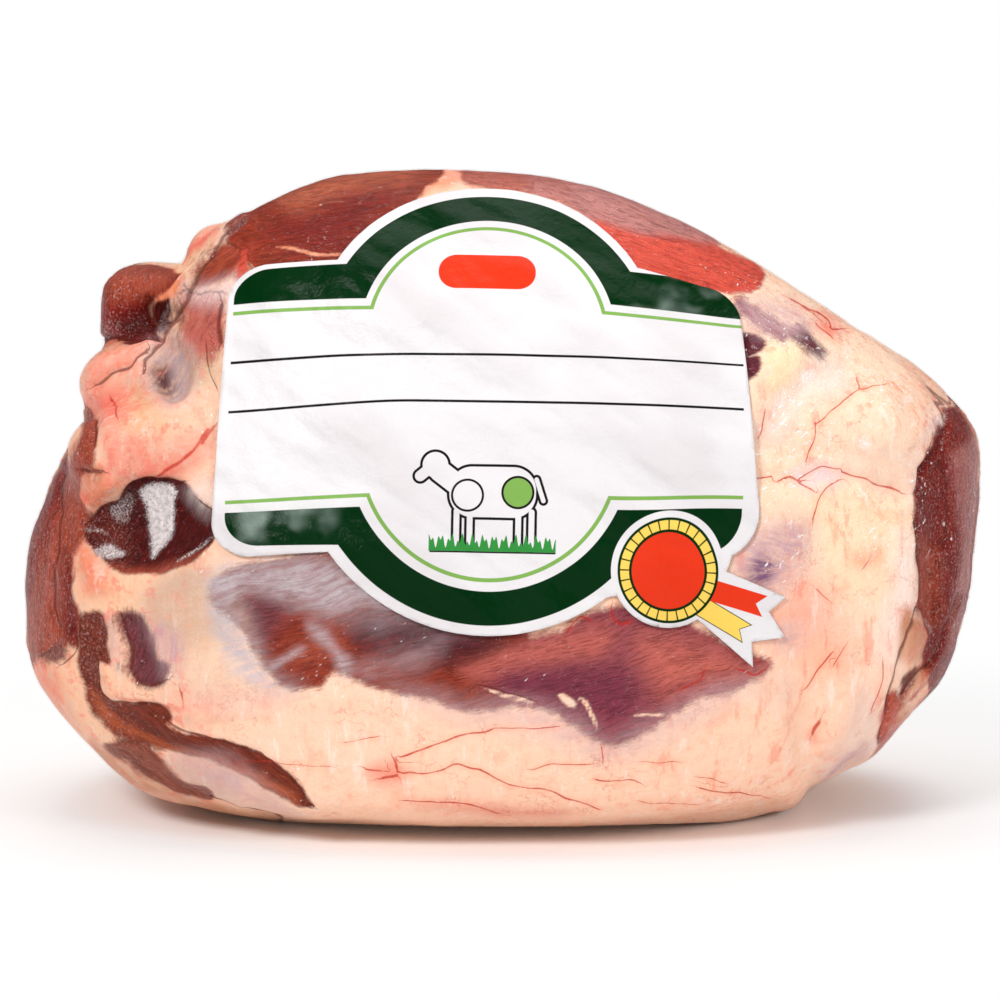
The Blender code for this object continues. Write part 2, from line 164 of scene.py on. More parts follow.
# The front, drawn in millimetres from the middle of the block as it is seen from the eye.
PATCHES = (
    Patch("lower_fat", Tissue.FAT, "fat_peach", ((-107, -49), (-73, -47), (-20, -49), (24, -60), (63, -47), (89, -49), (87, -64), (67, -81), (-5, -85), (-61, -83), (-97, -71)), soft=7),
    Patch("right_fat", Tissue.FAT, "fat_light", ((59, 50), (72, 51), (96, 35), (111, 23), (104, 16), (98, -1), (96, -25), (89, -35), (75, -30), (70, -11), (63, 4), (58, 23)), soft=7),
    Patch("right_yellow", Tissue.FAT, "fat_yellow", ((72, 4), (87, 2), (98, -3), (95, -23), (84, -25), (75, -15)), soft=6, amount=0.6),
    Patch("right_yellow_top", Tissue.FAT, "fat_yellow", ((64, 37), (70, 39), (72, 35), (72, 29), (67, 25), (64, 27)), soft=2),
    Patch("far_top_fat", Tissue.FAT, "fat_light", ((58, 57), (72, 51), (84, 43), (82, 38), (70, 48), (58, 50)), soft=3),
    Patch("blush_wide", Tissue.FAT, "pink_rose", ((46, -35), (63, -36), (79, -35), (84, -42), (77, -49), (63, -50), (48, -49)), soft=7, amount=0.75),
    Patch("blush_high", Tissue.FAT, "pink_fat", ((70, -19), (79, -23), (82, -35), (75, -40), (67, -35)), soft=7, amount=0.7),
    Patch("blush_orange", Tissue.FAT, "orange_fat", ((72, -37), (79, -37), (83, -42), (79, -47), (72, -47)), soft=5, amount=0.65),
    Patch("rim", Tissue.FAT, "rim_pink", ((96, -8), (101, -15), (100, -25), (97, -37), (93, -54), (89, -59), (89, -47), (90, -35), (93, -23)), soft=4),
    Patch("rim_top", Tissue.FAT, "rim_pink", ((104, 23), (113, 21), (113, 16), (107, 12), (102, 9), (100, -1), (98, -1), (99, 11)), soft=3, amount=0.6),
    Patch("left_apron", Tissue.FAT, "fat_cream", ((-102, -15), (-92, -19), (-70, -15), (-69, -25), (-72, -35), (-85, -30), (-99, -29)), soft=3),
    Patch("apron_yellow", Tissue.FAT, "yellow_grey", ((-81, -20), (-72, -17), (-67, -25), (-66, -37), (-72, -38), (-80, -35), (-85, -27)), soft=5),
    Patch("yellow_side", Tissue.FAT, "yellow_grey", ((-77, 37), (-69, 35), (-69, 23), (-73, 23), (-76, 27)), soft=4),
    Patch("skin_side", Tissue.FAT, "rose_brown", ((-76, 48), (-69, 48), (-69, 35), (-73, 35), (-77, 38)), soft=3),
    Patch("left_edge_fat", Tissue.FAT, "orange_pink", ((-114, -35), (-109, -41), (-103, -49), (-104, -54), (-109, -50), (-114, -44)), soft=4),
    Patch("left_edge_red", Tissue.FAT, "orange_pink", ((-113.5, -25), (-111.1, -29.9), (-110.6, -39.5), (-113, -37.1), (-114.5, -29.9)), soft=3),
    Patch("low_left_pale", Tissue.FAT, "fat_cream", ((-107, -41), (-102, -37), (-101, -47), (-98, -52), (-87, -59), (-90, -60), (-99, -58), (-104, -52)), soft=3),
    Patch("ledge", Tissue.FAT, "fat_cream", ((-96, -41), (-90, -41), (-86, -45), (-77, -45), (-69, -47), (-69, -50), (-85, -50), (-94, -49), (-96, -46)), soft=2, rise=1),
    Patch("rough_fat", Tissue.FAT, "fat_yellow", ((-85, -47), (-77, -40), (-70, -35), (-64, -40), (-55, -47), (-55, -53), (-69, -55), (-78, -53)), soft=4, rise=0.8),
    Patch("pocket_lip", Tissue.FAT, "orange_pink", ((-104, -1), (-101, 4), (-95, 6), (-93, 2), (-97, -2), (-100, -7), (-101, -12), (-98, -16), (-95, -19), (-94, -23), (-99, -23), (-103, -15), (-104, -8)), soft=3, rise=1),
    Patch("lip_brown", Tissue.FAT, "rose_brown", ((-101.9, 6.4), (-97.6, 7.4), (-96.8, 4), (-100.7, 2.5)), soft=2),
    Patch("fold", Tissue.FAT, "pink_fat", ((-101, 18), (-101, 27), (-99, 33), (-95, 36), (-87, 38), (-83, 38), (-85, 35), (-88, 32), (-93, 30), (-97, 27), (-98, 23), (-99, 16)), soft=2, rise=0.8),
    Patch("pad", Tissue.FAT, "pink_fat", ((-98, 26), (-92, 29), (-87, 32), (-85, 27), (-80, 22), (-75, 22), (-69, 22), (-69, 14), (-72, 8), (-78, 5), (-90, 4), (-95, 6), (-97, 14), (-98, 20)), soft=3, rise=1.2),
    Patch("pad_cream", Tissue.FAT, "pad_cream", ((-88, 26), (-81, 22), (-75, 21), (-76, 17), (-83, 14), (-89, 14), (-91, 20)), soft=5),
    Patch("pad_blotch", Tissue.FAT, "blood_pink", ((-97.1, 23.3), (-91.8, 23.8), (-91.3, 19.5), (-95.1, 17.5), (-97.3, 19.9)), soft=4, amount=0.8),
    Patch("pad_rose", Tissue.FAT, "pink_rose", ((-91, 11), (-83, 14), (-77, 14), (-75, 9), (-83, 5), (-92, 6)), soft=4, amount=0.8),
    Patch("pad_corner", Tissue.FAT, "pink_rose", ((-73.9, 22.1), (-68.8, 22.8), (-68.8, 13.7), (-72.9, 11.2), (-73.9, 16.1)), soft=3, amount=0.7),
    Patch("knob", Tissue.FAT, "fat_cream", ((-80, 52), (-78, 57), (-75, 61), (-71, 63), (-68, 63), (-70, 57), (-74, 52)), soft=1.5),
    Patch("knob_red", Tissue.FAT, "blood_pink", ((-75.8, 58.6), (-73.9, 62), (-71, 64), (-67.6, 63.5), (-69.5, 61.5), (-72.4, 59.6)), soft=2),
    Patch("chunk_rim", Tissue.FAT, "orange_fat", ((-89.8, 53.6), (-82.6, 52.8), (-79.2, 54.8), (-77.3, 53.3), (-78.7, 51.4), (-85, 51.6), (-89.8, 52.1)), soft=1.5),
    Patch("wedge", Tissue.FAT, "orange_fat", ((-84.5, 48.2), (-80.2, 50.4), (-75.3, 52.1), (-75.8, 49.9), (-78.2, 47), (-82.6, 45.6), (-84, 46.1)), soft=1.5, rise=1),
    Patch("chunk_foot", Tissue.FAT, "rose_brown", ((-97.6, 38.3), (-91, 38.3), (-85, 37.8), (-92.2, 35.9), (-97.1, 34.9)), soft=2),
    Patch("top_streak", Tissue.FAT, "orange_fat", ((-6, 79), (-10, 76), (-17, 74), (-23, 70), (-29, 65), (-33, 64), (-31, 67), (-26, 71), (-21, 74), (-17, 77), (-14, 80)), soft=1.5),
    Patch("seam", Tissue.FAT, "orange_fat", ((-3, 75), (11, 73), (18, 70), (27, 66), (33, 63), (27, 63), (21, 66), (11, 70), (0, 73)), soft=1.5),
    Patch("low_creamy", Tissue.FAT, "cream_grey", ((-87, -61), (-80, -62), (-69, -65), (-63, -71), (-69, -72), (-78, -67)), soft=3),
    Patch("low_edge", Tissue.FAT, "edge_brown", ((-98, -59), (-90, -65), (-78, -71), (-63, -77), (-51, -80), (-54, -82), (-68, -79), (-85, -72), (-97, -65)), soft=2.5),
    Patch("under_red", Tissue.FAT, "pink_rose", ((-20.9, -73.4), (-5.2, -73.9), (14.1, -74.8), (14.1, -77.7), (-0.4, -77.7), (-14.9, -75.3)), soft=3, amount=0.75),
    Patch("blot", Tissue.FAT, "blood_pink", ((-29, -63), (-25, -62), (-23, -66), (-25, -69), (-29, -69), (-32, -66)), soft=4),
    Patch("nick", Tissue.FAT, "blood_pink", ((74.1, -58.4), (75.8, -55.5), (78, -54.5), (77.5, -57.9), (75.1, -59.4)), soft=2),
    Patch("orange_spots", Tissue.FAT, "orange_fat", ((83.8, -14.1), (87.9, -13.4), (91, -12.9), (89.6, -15.8), (84.7, -16.3)), soft=3, amount=0.7),
    Patch("high_red", Tissue.FAT, "blood_pink", ((76.5, 43.2), (79.9, 43.6), (83.3, 40.3), (81.4, 38.3), (77, 39.8)), soft=3, amount=0.6),
    Patch("top_round", Tissue.MUSCLE, "brown_red", ((-66, 61), (-62, 69), (-51, 76), (-39, 83), (-25, 89), (-15, 89), (-14, 79), (-18, 75), (-22, 71), (-25, 66), (-27, 62), (-32, 57), (-38, 54), (-49, 55), (-58, 55), (-63, 58)), soft=1, grain=8, wraps=True),
    Patch("top_round_core", Tissue.MUSCLE, "deep_red", ((-56, 65), (-46, 70), (-32, 74), (-25, 73), (-32, 66), (-38, 59), (-51, 60)), soft=5, grain=8, tone=True),
    Patch("top_round_crown", Tissue.MUSCLE, "tan_red", ((-54, 74), (-41, 78), (-25, 81), (-18, 81), (-22, 77), (-37, 75), (-49, 70)), soft=4, grain=8, tone=True),
    Patch("top_mid", Tissue.MUSCLE, "dull_red", ((-9, 86), (4, 86), (17, 81), (18, 72), (9, 73), (0, 74), (-9, 76)), soft=1, grain=-12, wraps=True),
    Patch("top_far", Tissue.MUSCLE, "mauve_red", ((4, 84), (19, 84), (36, 81), (50, 70), (53, 62), (46, 61), (33, 63), (24, 66), (14, 71), (6, 74)), soft=1.2, grain=-18, wraps=True),
    Patch("top_low", Tissue.MUSCLE, "bright_red", ((23, 67), (33, 65), (48, 62), (58, 58), (63, 54), (60, 50), (49, 50), (37, 50), (29, 52), (24, 61)), soft=1, grain=-16),
    Patch("shoulder_patch", Tissue.MUSCLE, "brick_red", ((-73, 52), (-71, 57), (-68, 60), (-63, 61), (-63, 57), (-66, 53), (-70, 52)), soft=1.5, grain=35),
    Patch("shoulder_red", Tissue.MUSCLE, "bright_red", ((-63, 62), (-57, 63), (-56, 60), (-60, 57), (-63, 52), (-64, 57)), soft=2, grain=40),
    Patch("side_brown", Tissue.MUSCLE, "rose_red", ((-75, 46), (-69, 47), (-69, 37), (-72, 35), (-76, 39)), soft=5, grain=70, amount=0.6),
    Patch("chunk", Tissue.MUSCLE, "wet_red", ((-98, 38), (-97, 45), (-96, 51), (-92, 56), (-84, 56), (-77, 53), (-80, 50), (-84, 48), (-85, 45), (-83, 38), (-90, 38)), soft=0.8, grain=80, rise=0.6),
    Patch("chunk_top", Tissue.MUSCLE, "brick_red", ((-96, 50), (-93, 57), (-83, 57), (-77, 54), (-81, 49), (-85, 48), (-93, 47)), soft=2.5, grain=10, tone=True),
    Patch("chunk_shade", Tissue.MUSCLE, "black_red", ((-92.2, 42.2), (-85, 43.9), (-84, 38.3), (-91.8, 38.3)), soft=4, grain=80, tone=True),
    Patch("chunk_small", Tissue.MUSCLE, "black_red", ((-83.8, 46.1), (-79.7, 47), (-78.7, 44.6), (-81.1, 39.3), (-83.1, 40.3)), soft=0.8, grain=80),
    Patch("end_strip", Tissue.MUSCLE, "brick_red", ((-101, 20), (-99, 18), (-100, 8), (-102, 4), (-103, -6), (-104, -14), (-103, -24), (-101, -31), (-104, -36), (-107, -31), (-108, -25), (-107, -12), (-106, -2), (-105, 6), (-102, 14)), soft=1.2, grain=82),
    Patch("end_strip_dark", Tissue.MUSCLE, "deep_red", ((-105.3, -15.4), (-103.8, -15.4), (-101.9, -27.4), (-103.8, -35.7), (-106.3, -32.3), (-105.8, -25)), soft=2, grain=82, tone=True),
    Patch("end_mauve", Tissue.MUSCLE, "mauve_red", ((-105.3, 6.9), (-107.2, 1.6), (-110.1, -5.7), (-111.3, -15.4), (-111.3, -25), (-107.7, -25.5), (-106.8, -11.7), (-106.3, -2.1)), soft=1.2, grain=82),
    Patch("end_outer", Tissue.MUSCLE, "dark_brown", ((-109.9, -3.7), (-112.6, -8.1), (-114.5, -15.4), (-114.5, -25), (-112.6, -29.4), (-111.6, -25), (-111.3, -15.4), (-109.9, -8.1)), soft=1, grain=82, wraps=True),
    Patch("end_tear", Tissue.MUSCLE, "bright_red", ((-110.9, -32.3), (-108.7, -30.8), (-104.3, -29.9), (-103.8, -31.8), (-107.7, -33.2)), soft=1.2, grain=0),
    Patch("end_pocket", Tissue.MUSCLE, "grey_brown", ((-110.9, -34.7), (-107.2, -34.2), (-106.8, -38.6), (-109.2, -40.5), (-110.9, -38.3)), soft=1.5, grain=0, rise=-1),
    Patch("pocket", Tissue.MUSCLE, "wet_dark", ((-100, -6), (-97, -3), (-92, -1), (-90, 3), (-85, 5), (-77, 4), (-74, 0), (-69, -4), (-69, -10), (-72, -13), (-75, -16), (-81, -18), (-85, -18), (-91, -18), (-95, -16), (-99, -13), (-101, -11)), soft=0.8, grain=60, rise=-0.8),
    Patch("pocket_left", Tissue.MUSCLE, "wet_brown", ((-100, -7), (-95, -5), (-91, -8), (-91, -14), (-96, -15), (-99, -12)), soft=3, grain=60, tone=True),
    Patch("pocket_foot", Tissue.MUSCLE, "brick_red", ((-95, -16), (-85, -17), (-77, -15), (-69, -12), (-72, -14), (-80, -19), (-92, -19)), soft=2, grain=10, tone=True),
    Patch("cut_band", Tissue.MUSCLE, "cut_brown", ((-101, -29), (-96, -28), (-95, -35), (-93, -40), (-96, -40), (-97, -46), (-95, -49), (-90, -50), (-83, -50), (-79, -53), (-80, -55), (-69, -59), (-58, -63), (-51, -67), (-45, -73), (-48, -73), (-54, -71), (-63, -66), (-69, -64), (-80, -61), (-89, -59), (-95, -55), (-100, -51), (-101, -47), (-102, -40), (-102, -35)), soft=0.9, grain=-30, rise=-0.9),
    Patch("cut_band_up", Tissue.MUSCLE, "cut_brown", ((-101, -29), (-96, -28), (-95, -35), (-96, -40), (-97, -47), (-101, -47), (-102, -40)), soft=2, grain=88, tone=True),
    Patch("cut_band_edge", Tissue.MUSCLE, "orange_brown", ((-101, -47), (-97, -53), (-89, -58), (-80, -61), (-69, -64), (-54, -71), (-48, -73), (-51, -70), (-66, -64), (-83, -59), (-92, -55), (-98, -49)), soft=1.2, grain=-30, tone=True),
    Patch("low_band", Tissue.MUSCLE, "rose_brown_muscle", ((-95, -59), (-87, -59), (-83, -62), (-78, -67), (-71, -71), (-71, -73), (-76, -72), (-82, -69), (-88, -65), (-93, -62)), soft=0.9, grain=-35, rise=-0.5),
    Patch("hollow", Tissue.MUSCLE, "plum", ((-92, -29), (-87, -29), (-85, -34), (-84, -39), (-81, -41), (-82, -44), (-85, -45), (-89, -42), (-90, -36)), soft=1.8, grain=80, rise=-1.2),
    Patch("centre_brown", Tissue.MUSCLE, "brown_red", ((-70, -23), (-65, -18), (-58, -16), (-49, -14), (-40, -15), (-32, -19), (-23, -22), (-15, -25), (4, -32), (6, -37), (3, -44), (1, -50), (-8, -51), (-17, -49), (-25, -47), (-32, -45), (-41, -42), (-44, -45), (-51, -45), (-55, -42), (-59, -38), (-62, -33), (-66, -29)), soft=1.6, grain=14),
    Patch("centre_dark", Tissue.MUSCLE, "plum_dark", ((-40, -35), (-29, -28), (-15, -29), (0, -33), (2, -38), (-8, -41), (-20, -40), (-29, -38)), soft=5, grain=16, tone=True),
    Patch("centre_left_mauve", Tissue.MUSCLE, "plum", ((-67, -25), (-58, -24), (-51, -27), (-58, -35), (-63, -30)), soft=4, grain=14, tone=True),
    Patch("centre_red", Tissue.MUSCLE, "brick_red", ((-51, -36), (-41, -32), (-37, -37), (-44, -41), (-50, -41)), soft=4, grain=14, tone=True),
    Patch("centre_purple", Tissue.MUSCLE, "purple_red", ((0, -35), (14, -33), (24, -28), (36, -28), (49, -33), (59, -38), (64, -41), (59, -45), (47, -48), (44, -50), (37, -54), (31, -58), (25, -59), (19, -55), (11, -51), (0, -50), (-6, -49), (-8, -42), (-4, -38)), soft=1.8, grain=16),
    Patch("purple_pinker", Tissue.MUSCLE, "rose_red", ((33, -35), (48, -35), (64, -41), (58, -44), (46, -47), (37, -47)), soft=6, grain=16, tone=True),
    Patch("purple_deep", Tissue.MUSCLE, "purple_deep", ((0, -42), (14, -41), (29, -42), (33, -49), (29, -55), (20, -53), (9, -49), (0, -48)), soft=5, grain=16, tone=True),
    Patch("purple_streak", Tissue.MUSCLE, "rose_red", ((-8, -41), (4, -36), (24, -32), (24, -37), (4, -41), (-5, -44)), soft=4, grain=20, tone=True),
    Patch("edge_spot_high", Tissue.MUSCLE, "wine", ((58.9, 39.3), (62, 38.8), (63.7, 36.9), (62.5, 34.7), (59.1, 34.9)), soft=0.8, grain=0, rise=-0.8),
    Patch("edge_spot_low", Tissue.MUSCLE, "wine", ((59.6, 34), (61.8, 33), (62, 30.1), (60.1, 28.2)), soft=0.8, grain=0, rise=-0.6),
    Patch("marble_high", Tissue.MUSCLE, "mauve_wine", ((57, 48), (61, 46), (64, 44), (68, 41), (68, 38), (65, 40), (61, 43), (58, 45)), soft=1.6, grain=-40, amount=0.85),
    Patch("marble_low", Tissue.MUSCLE, "wine", ((69.3, 40.3), (72.9, 39.5), (75.1, 36.6), (77.5, 34.2), (75.1, 34), (72.2, 36.4), (69.8, 38.3)), soft=1.6, grain=-40, amount=0.9),
    Patch("rump_muscle", Tissue.MUSCLE, "deep_red", ((104, 10), (107, 9), (108, 4), (108, -3), (107, -12), (105, -14), (106, -25), (104, -31), (101, -30), (100, -26), (101, -19), (101, -12), (99, -6), (100, 2), (102, 7)), soft=0.9, grain=88, rise=-0.8),
    Patch("rump_low", Tissue.MUSCLE, "brick_red", ((100.7, -11.7), (104.6, -12.9), (105.5, -25), (104.1, -31.3), (100.7, -30.3), (99.7, -25.5), (101.2, -19)), soft=3, grain=88, tone=True),
    Patch("rump_marbled", Tissue.MUSCLE, "marbled_mauve", ((107, 7), (108, 12), (112, 15), (114, 19), (118, 18), (118, -15), (113, -25), (111, -33), (109, -35), (107, -30), (108, -20), (109, -11), (108, -2)), soft=1, grain=86, wraps=True),
    Patch("rump_outer", Tissue.MUSCLE, "orange_red", ((112, -9), (115, -7), (119, -15), (115, -25), (111, -36), (106, -41), (103, -43), (101, -47), (98, -49), (97, -47), (100, -42), (105, -38), (108, -31), (111, -21)), soft=1, grain=75, wraps=True),
    Patch("rump_scrap_dark", Tissue.MUSCLE, "dark_brown", ((96.8, -43.4), (100.2, -41), (99.7, -46.3), (97.1, -47.8)), soft=1, grain=60),
    Patch("rump_scrap_red", Tissue.MUSCLE, "orange_red", ((92.7, -49.2), (95.1, -46.8), (96.4, -50.4), (93.5, -56), (91.5, -58.9), (91, -55.2)), soft=1.5, grain=70),
    Patch("rump_under", Tissue.MUSCLE, "rose_red", ((92, -58), (98, -53), (102, -49), (106, -49), (101, -56), (94, -61), (89, -63)), soft=1.5, grain=50, wraps=True),
    Patch("tendon", Tissue.FAT, "tendon", ((-95.6, -28.9), (-93.9, -28.9), (-92, -34.7), (-91, -40), (-92.2, -41.5), (-93.5, -38.3), (-94.2, -34.7)), soft=0.8, over=True, rise=0.8),
    Patch("rump_tendon", Tissue.FAT, "tan_fat", ((104.8, -11.7), (107.2, -12.5), (106.8, -19), (106.3, -25.5), (104.3, -25.5), (103.8, -17.8)), soft=0.8, over=True, rise=0.6),
    Patch("rump_knob", Tissue.FAT, "tan_fat", ((97, -26), (100, -30), (103, -33), (101, -38), (98, -40), (96, -38), (96, -32)), soft=1.2, over=True, rise=1.2),
    Patch("rump_knob_low", Tissue.FAT, "tan_fat", ((100, -40), (104, -38), (106, -40), (103, -45), (99, -49), (98, -53), (95, -54), (97, -49), (98, -47)), soft=1.2, over=True, rise=0.8),
    Patch("flap_left", Tissue.FAT, "fat_cream", ((13.7, -47.8), (16.1, -48.2), (18.5, -50.7), (17.5, -51.6), (14.6, -49.7)), soft=0.6, over=True, rise=0.6),
    Patch("flap_right", Tissue.FAT, "fat_cream", ((18.5, -49.2), (20.9, -49.7), (22.6, -52.6), (23.6, -56), (22.4, -55), (20.7, -51.9)), soft=0.6, over=True, rise=0.6),
    Patch("flap_far", Tissue.FAT, "tendon", ((32, -53.1), (38.3, -52.1), (38.3, -52.8), (33.5, -53.8)), soft=0.5, over=True, rise=0.3),
    Patch("pale_cut", Tissue.FAT, "fat_cream", ((-5.2, -45.8), (0.8, -47.8), (7.4, -49.4), (6.9, -50.2), (-0.4, -48.7)), soft=0.4, over=True, rise=0.2),
    Patch("small_scrap", Tissue.FAT, "fat_cream", ((68.5, -12.9), (71.4, -12.5), (72.2, -14.4), (68.8, -15.4), (65.4, -17.3), (64.4, -16.8), (67.3, -14.9)), soft=0.6, over=True, rise=0.6),
    Patch("top_thread", Tissue.FAT, "orange_fat", ((-53.6, 60.6), (-43.9, 59.4), (-37.8, 59.4), (-37.8, 58.6), (-45.1, 58.4), (-53.1, 59.6)), soft=0.5, over=True),
    Patch("skin_apron", Tissue.SKIN, "tan_grey", ((-85, -25), (-75, -20), (-66, -19), (-61, -35), (-55, -47), (-64, -50), (-75, -47), (-81, -37)), soft=6, amount=0.6),
    Patch("skin_hollow", Tissue.SKIN, "grey_blue", ((-81, 38), (-77, 36), (-75, 31), (-76, 23), (-80, 21), (-83, 24), (-85, 30), (-84, 35)), soft=4, rise=-1.4),
    Patch("skin_hollow_dark", Tissue.SKIN, "dark_speck", ((-84, 31.1), (-81.6, 31.6), (-80.6, 27.2), (-81.6, 24.3), (-83.5, 26.2)), soft=3, amount=0.7),
    Patch("skin_shoulder", Tissue.SKIN, "lavender_white", ((-74.8, 50.4), (-70.5, 52.1), (-63.7, 52.3), (-64.7, 47), (-71.7, 46.8), (-75.3, 47.5)), soft=3, amount=0.8),
    Patch("skin_label_foot", Tissue.SKIN, "silver_blue", ((-71, -22), (-68, -17), (-61, -16), (-49, -14), (-37, -18), (-25, -25), (-31, -26), (-41, -28), (-52, -26), (-61, -23), (-67, -25)), soft=4, amount=0.85),
    Patch("skin_left_edge", Tissue.SKIN, "silver_blue", ((-70, -25), (-67, -26), (-63, -32), (-58, -39), (-55, -43), (-49, -46), (-58, -46), (-65, -40), (-70, -32)), soft=4, amount=0.75),
    Patch("skin_arc_one", Tissue.SKIN, "silver_blue", ((-47, -31), (-43, -32), (-40, -37), (-36, -40), (-37, -44), (-40, -42), (-41, -38), (-45, -35)), soft=2, amount=0.75),
    Patch("skin_arc_two", Tissue.SKIN, "silver_blue", ((-55.5, -39.5), (-49.7, -36.6), (-47.3, -37.1), (-51.1, -39.5), (-54.5, -41.5)), soft=1.2, amount=0.6),
    Patch("skin_centre_streak", Tissue.SKIN, "lavender_grey", ((-34, -41), (-25, -38), (-15, -35), (-17, -40), (-25, -42), (-32, -44)), soft=5, amount=0.45),
    Patch("skin_purple_edge", Tissue.SKIN, "lavender_grey", ((-25, -47), (-8, -50), (9, -51), (20, -55), (26, -59), (36, -55), (48, -48), (59, -45), (53, -50), (38, -58), (26, -63), (18, -60), (7, -55), (-10, -53)), soft=5, amount=0.7),
    Patch("skin_low_lavender", Tissue.SKIN, "lavender_grey", ((-78, -63), (-69, -63), (-61, -67), (-53, -73), (-49, -78), (-56, -76), (-65, -72), (-73, -68)), soft=4, amount=0.7),
    Patch("skin_high_right", Tissue.SKIN, "lavender_grey", ((58, 47), (67, 48), (72, 46), (75, 40), (70, 38), (64, 39), (60, 42)), soft=4, amount=0.75),
    Patch("skin_translucent", Tissue.SKIN, "pearl", ((63, 17), (68, 23), (72, 28), (75, 33), (80, 33), (84, 29), (81, 25), (75, 25), (71, 20), (66, 14)), soft=4, amount=0.8),
    Patch("skin_lavender_patch", Tissue.SKIN, "lavender_white", ((71, 6), (77, 8), (83, 6), (82, 3), (76, 1), (72, 3)), soft=2.5, amount=0.85),
    Patch("skin_grey_fold", Tissue.SKIN, "tan_grey", ((85, 10), (93, 11), (98, 8), (97, 2), (92, 3), (87, 6)), soft=4, amount=0.55),
    Patch("skin_by_ribbon", Tissue.SKIN, "mauve_grey", ((56, -14), (64, -8), (73, -6), (74, -14), (70, -21), (64, -23), (57, -19)), soft=5, amount=0.8),
    Patch("skin_ribbon_dark", Tissue.SKIN, "mauve_dark", ((60.1, -16.8), (64.4, -15.4), (65.4, -19.7), (61.5, -21.2)), soft=3, amount=0.8),
    Patch("skin_below_tails", Tissue.SKIN, "mauve_grey", ((66.1, -32.3), (72.2, -32.3), (71.7, -37.1), (67.3, -36.6)), soft=4, amount=0.6),
    Patch("skin_faint_grey", Tissue.SKIN, "tan_grey", ((61.3, -44.4), (67.3, -43.4), (69.3, -47.3), (64.9, -49.7), (61.5, -48.2)), soft=4, amount=0.6),
    Patch("skin_low_right", Tissue.SKIN, "pearl", ((87, -47), (90, -49), (87, -59), (81, -67), (77, -68), (81, -60), (84, -53)), soft=4, amount=0.6),
    Patch("skin_low_slit", Tissue.SKIN, "mauve_grey", ((86, -58), (88, -59), (84, -64), (79, -69), (78, -68), (82, -62)), soft=2, amount=0.7),
    Patch("skin_hollow_side", Tissue.SKIN, "mauve_grey", ((-85, -32), (-80, -31), (-77, -37), (-80, -42), (-83, -40)), soft=4, amount=0.6),
    Patch("skin_label_side", Tissue.SKIN, "pearl", ((-76, 2), (-70, 4), (-69, -2), (-72, -4), (-75, -1)), soft=3, amount=0.6),
)

VEINS = (
    Line(((-25, -63), (-17, -60), (-10, -58), (-5, -57), (-2, -56)), 0.4),
    Line(((-1.8, -55.7), (9.3, -55.2), (14.6, -55)), 0.18),
    Line(((-24.5, -67.3), (-14.9, -65.6), (-10, -64.2), (-4.7, -65.9)), 0.35),
    Line(((-5, -66), (2, -69), (11, -70), (15, -72), (19, -73), (24, -75)), 0.3),
    Line(((-14.9, -73.6), (-7.6, -74.1), (-0.4, -77)), 0.3),
    Line(((-23.3, -72.9), (-15.4, -73.6)), 0.25),
    Line(((6.9, -65.2), (11.7, -64.2), (17, -64.9), (21.4, -64.4)), 0.26),
    Line(((22.8, -68.1), (30.1, -68.1), (33.5, -69)), 0.26),
    Line(((48, -70.2), (57.7, -71), (64.9, -73.4)), 0.28),
    Line(((48, -67.8), (53.3, -68.1)), 0.2),
    Line(((33.5, -63.7), (43.6, -64.4)), 0.18),
    Line(((23.8, -60.1), (24.5, -63.2)), 0.25),
    Line(((92, 27), (87, 26), (83, 23), (79, 20), (76, 18)), 0.26),
    Line(((86.7, 26.2), (86.2, 28.7)), 0.3),
    Line(((76, 18.5), (75.8, 14.1), (74.1, 8.8)), 0.3),
    Line(((61.8, 4.5), (65.4, 4.7)), 0.4),
    Line(((67.3, 3.7), (70.5, 4.7), (72.7, 3.5), (75.3, 1.1)), 0.42),
    Line(((72.2, 4.5), (77.5, 6.9), (82.3, 6.4)), 0.26),
    Line(((82.3, 5.9), (89.1, 4.2), (96.4, 1.6)), 0.34),
    Line(((63.5, 20.4), (63, 14.6)), 0.26),
    Line(((82, 4), (77, 0), (75, -6)), 0.26),
    Line(((70, 48), (75, 45), (79, 43), (80, 40), (83, 40)), 0.38),
    Line(((76, 41.7), (79.9, 38.3)), 0.34),
    Line(((72.2, 46.3), (77.5, 42.2)), 0.24),
    Line(((79.9, -38.3), (76, -42.9), (73.6, -46.8)), 0.3),
    Line(((83.3, -36.6), (80.4, -40.5)), 0.24),
    Line(((26.7, -27), (27, -30.3), (29.6, -31.8)), 0.36),
    Line(((30.1, -31.6), (31.6, -31.1)), 0.6),
    Line(((-70, 16), (-73, 12), (-77, 9), (-83, 6)), 0.75),
    Line(((-68.8, 17), (-71.7, 12.5)), 0.5),
    Line(((-26.5, -63.7), (-25.5, -67.6), (-28.4, -68.5)), 0.6),
    Line(((-24.5, -67.3), (-21.6, -66.6)), 0.5),
    Line(((-32.8, -65.6), (-29.4, -66.6)), 0.4),
    Line(((16.6, -32.3), (19, -29.4), (21.4, -30.3)), 0.3),
    Line(((43.2, -46.8), (48, -44.4), (49.2, -42.4)), 0.4),
    Line(((57.7, -42), (60.6, -43.4), (63, -42.4)), 0.4),
    Line(((77, -55), (75.6, -57.9)), 0.5),
    Line(((88.6, -50.4), (91, -44.4), (91.5, -39.5)), 0.3),
    Line(((87.2, -15.4), (86.2, -16.8)), 0.3),
    Line(((89.6, -56.5), (92.5, -49.2)), 0.35),
    Line(((-37.8, -58.9), (-29.4, -57.7)), 0.15),
    Line(((-60.8, -64.2), (-41.5, -64.9)), 0.14),
    Line(((33.5, -73.4), (48, -74.1)), 0.15),
    Line(((-77, -46.8), (-76.8, -48.2)), 0.5),
    Line(((76.5, -22.6), (78.9, -25)), 0.2),
    Line(((-94.2, 22.6), (-92.7, 18.5)), 0.5),
)

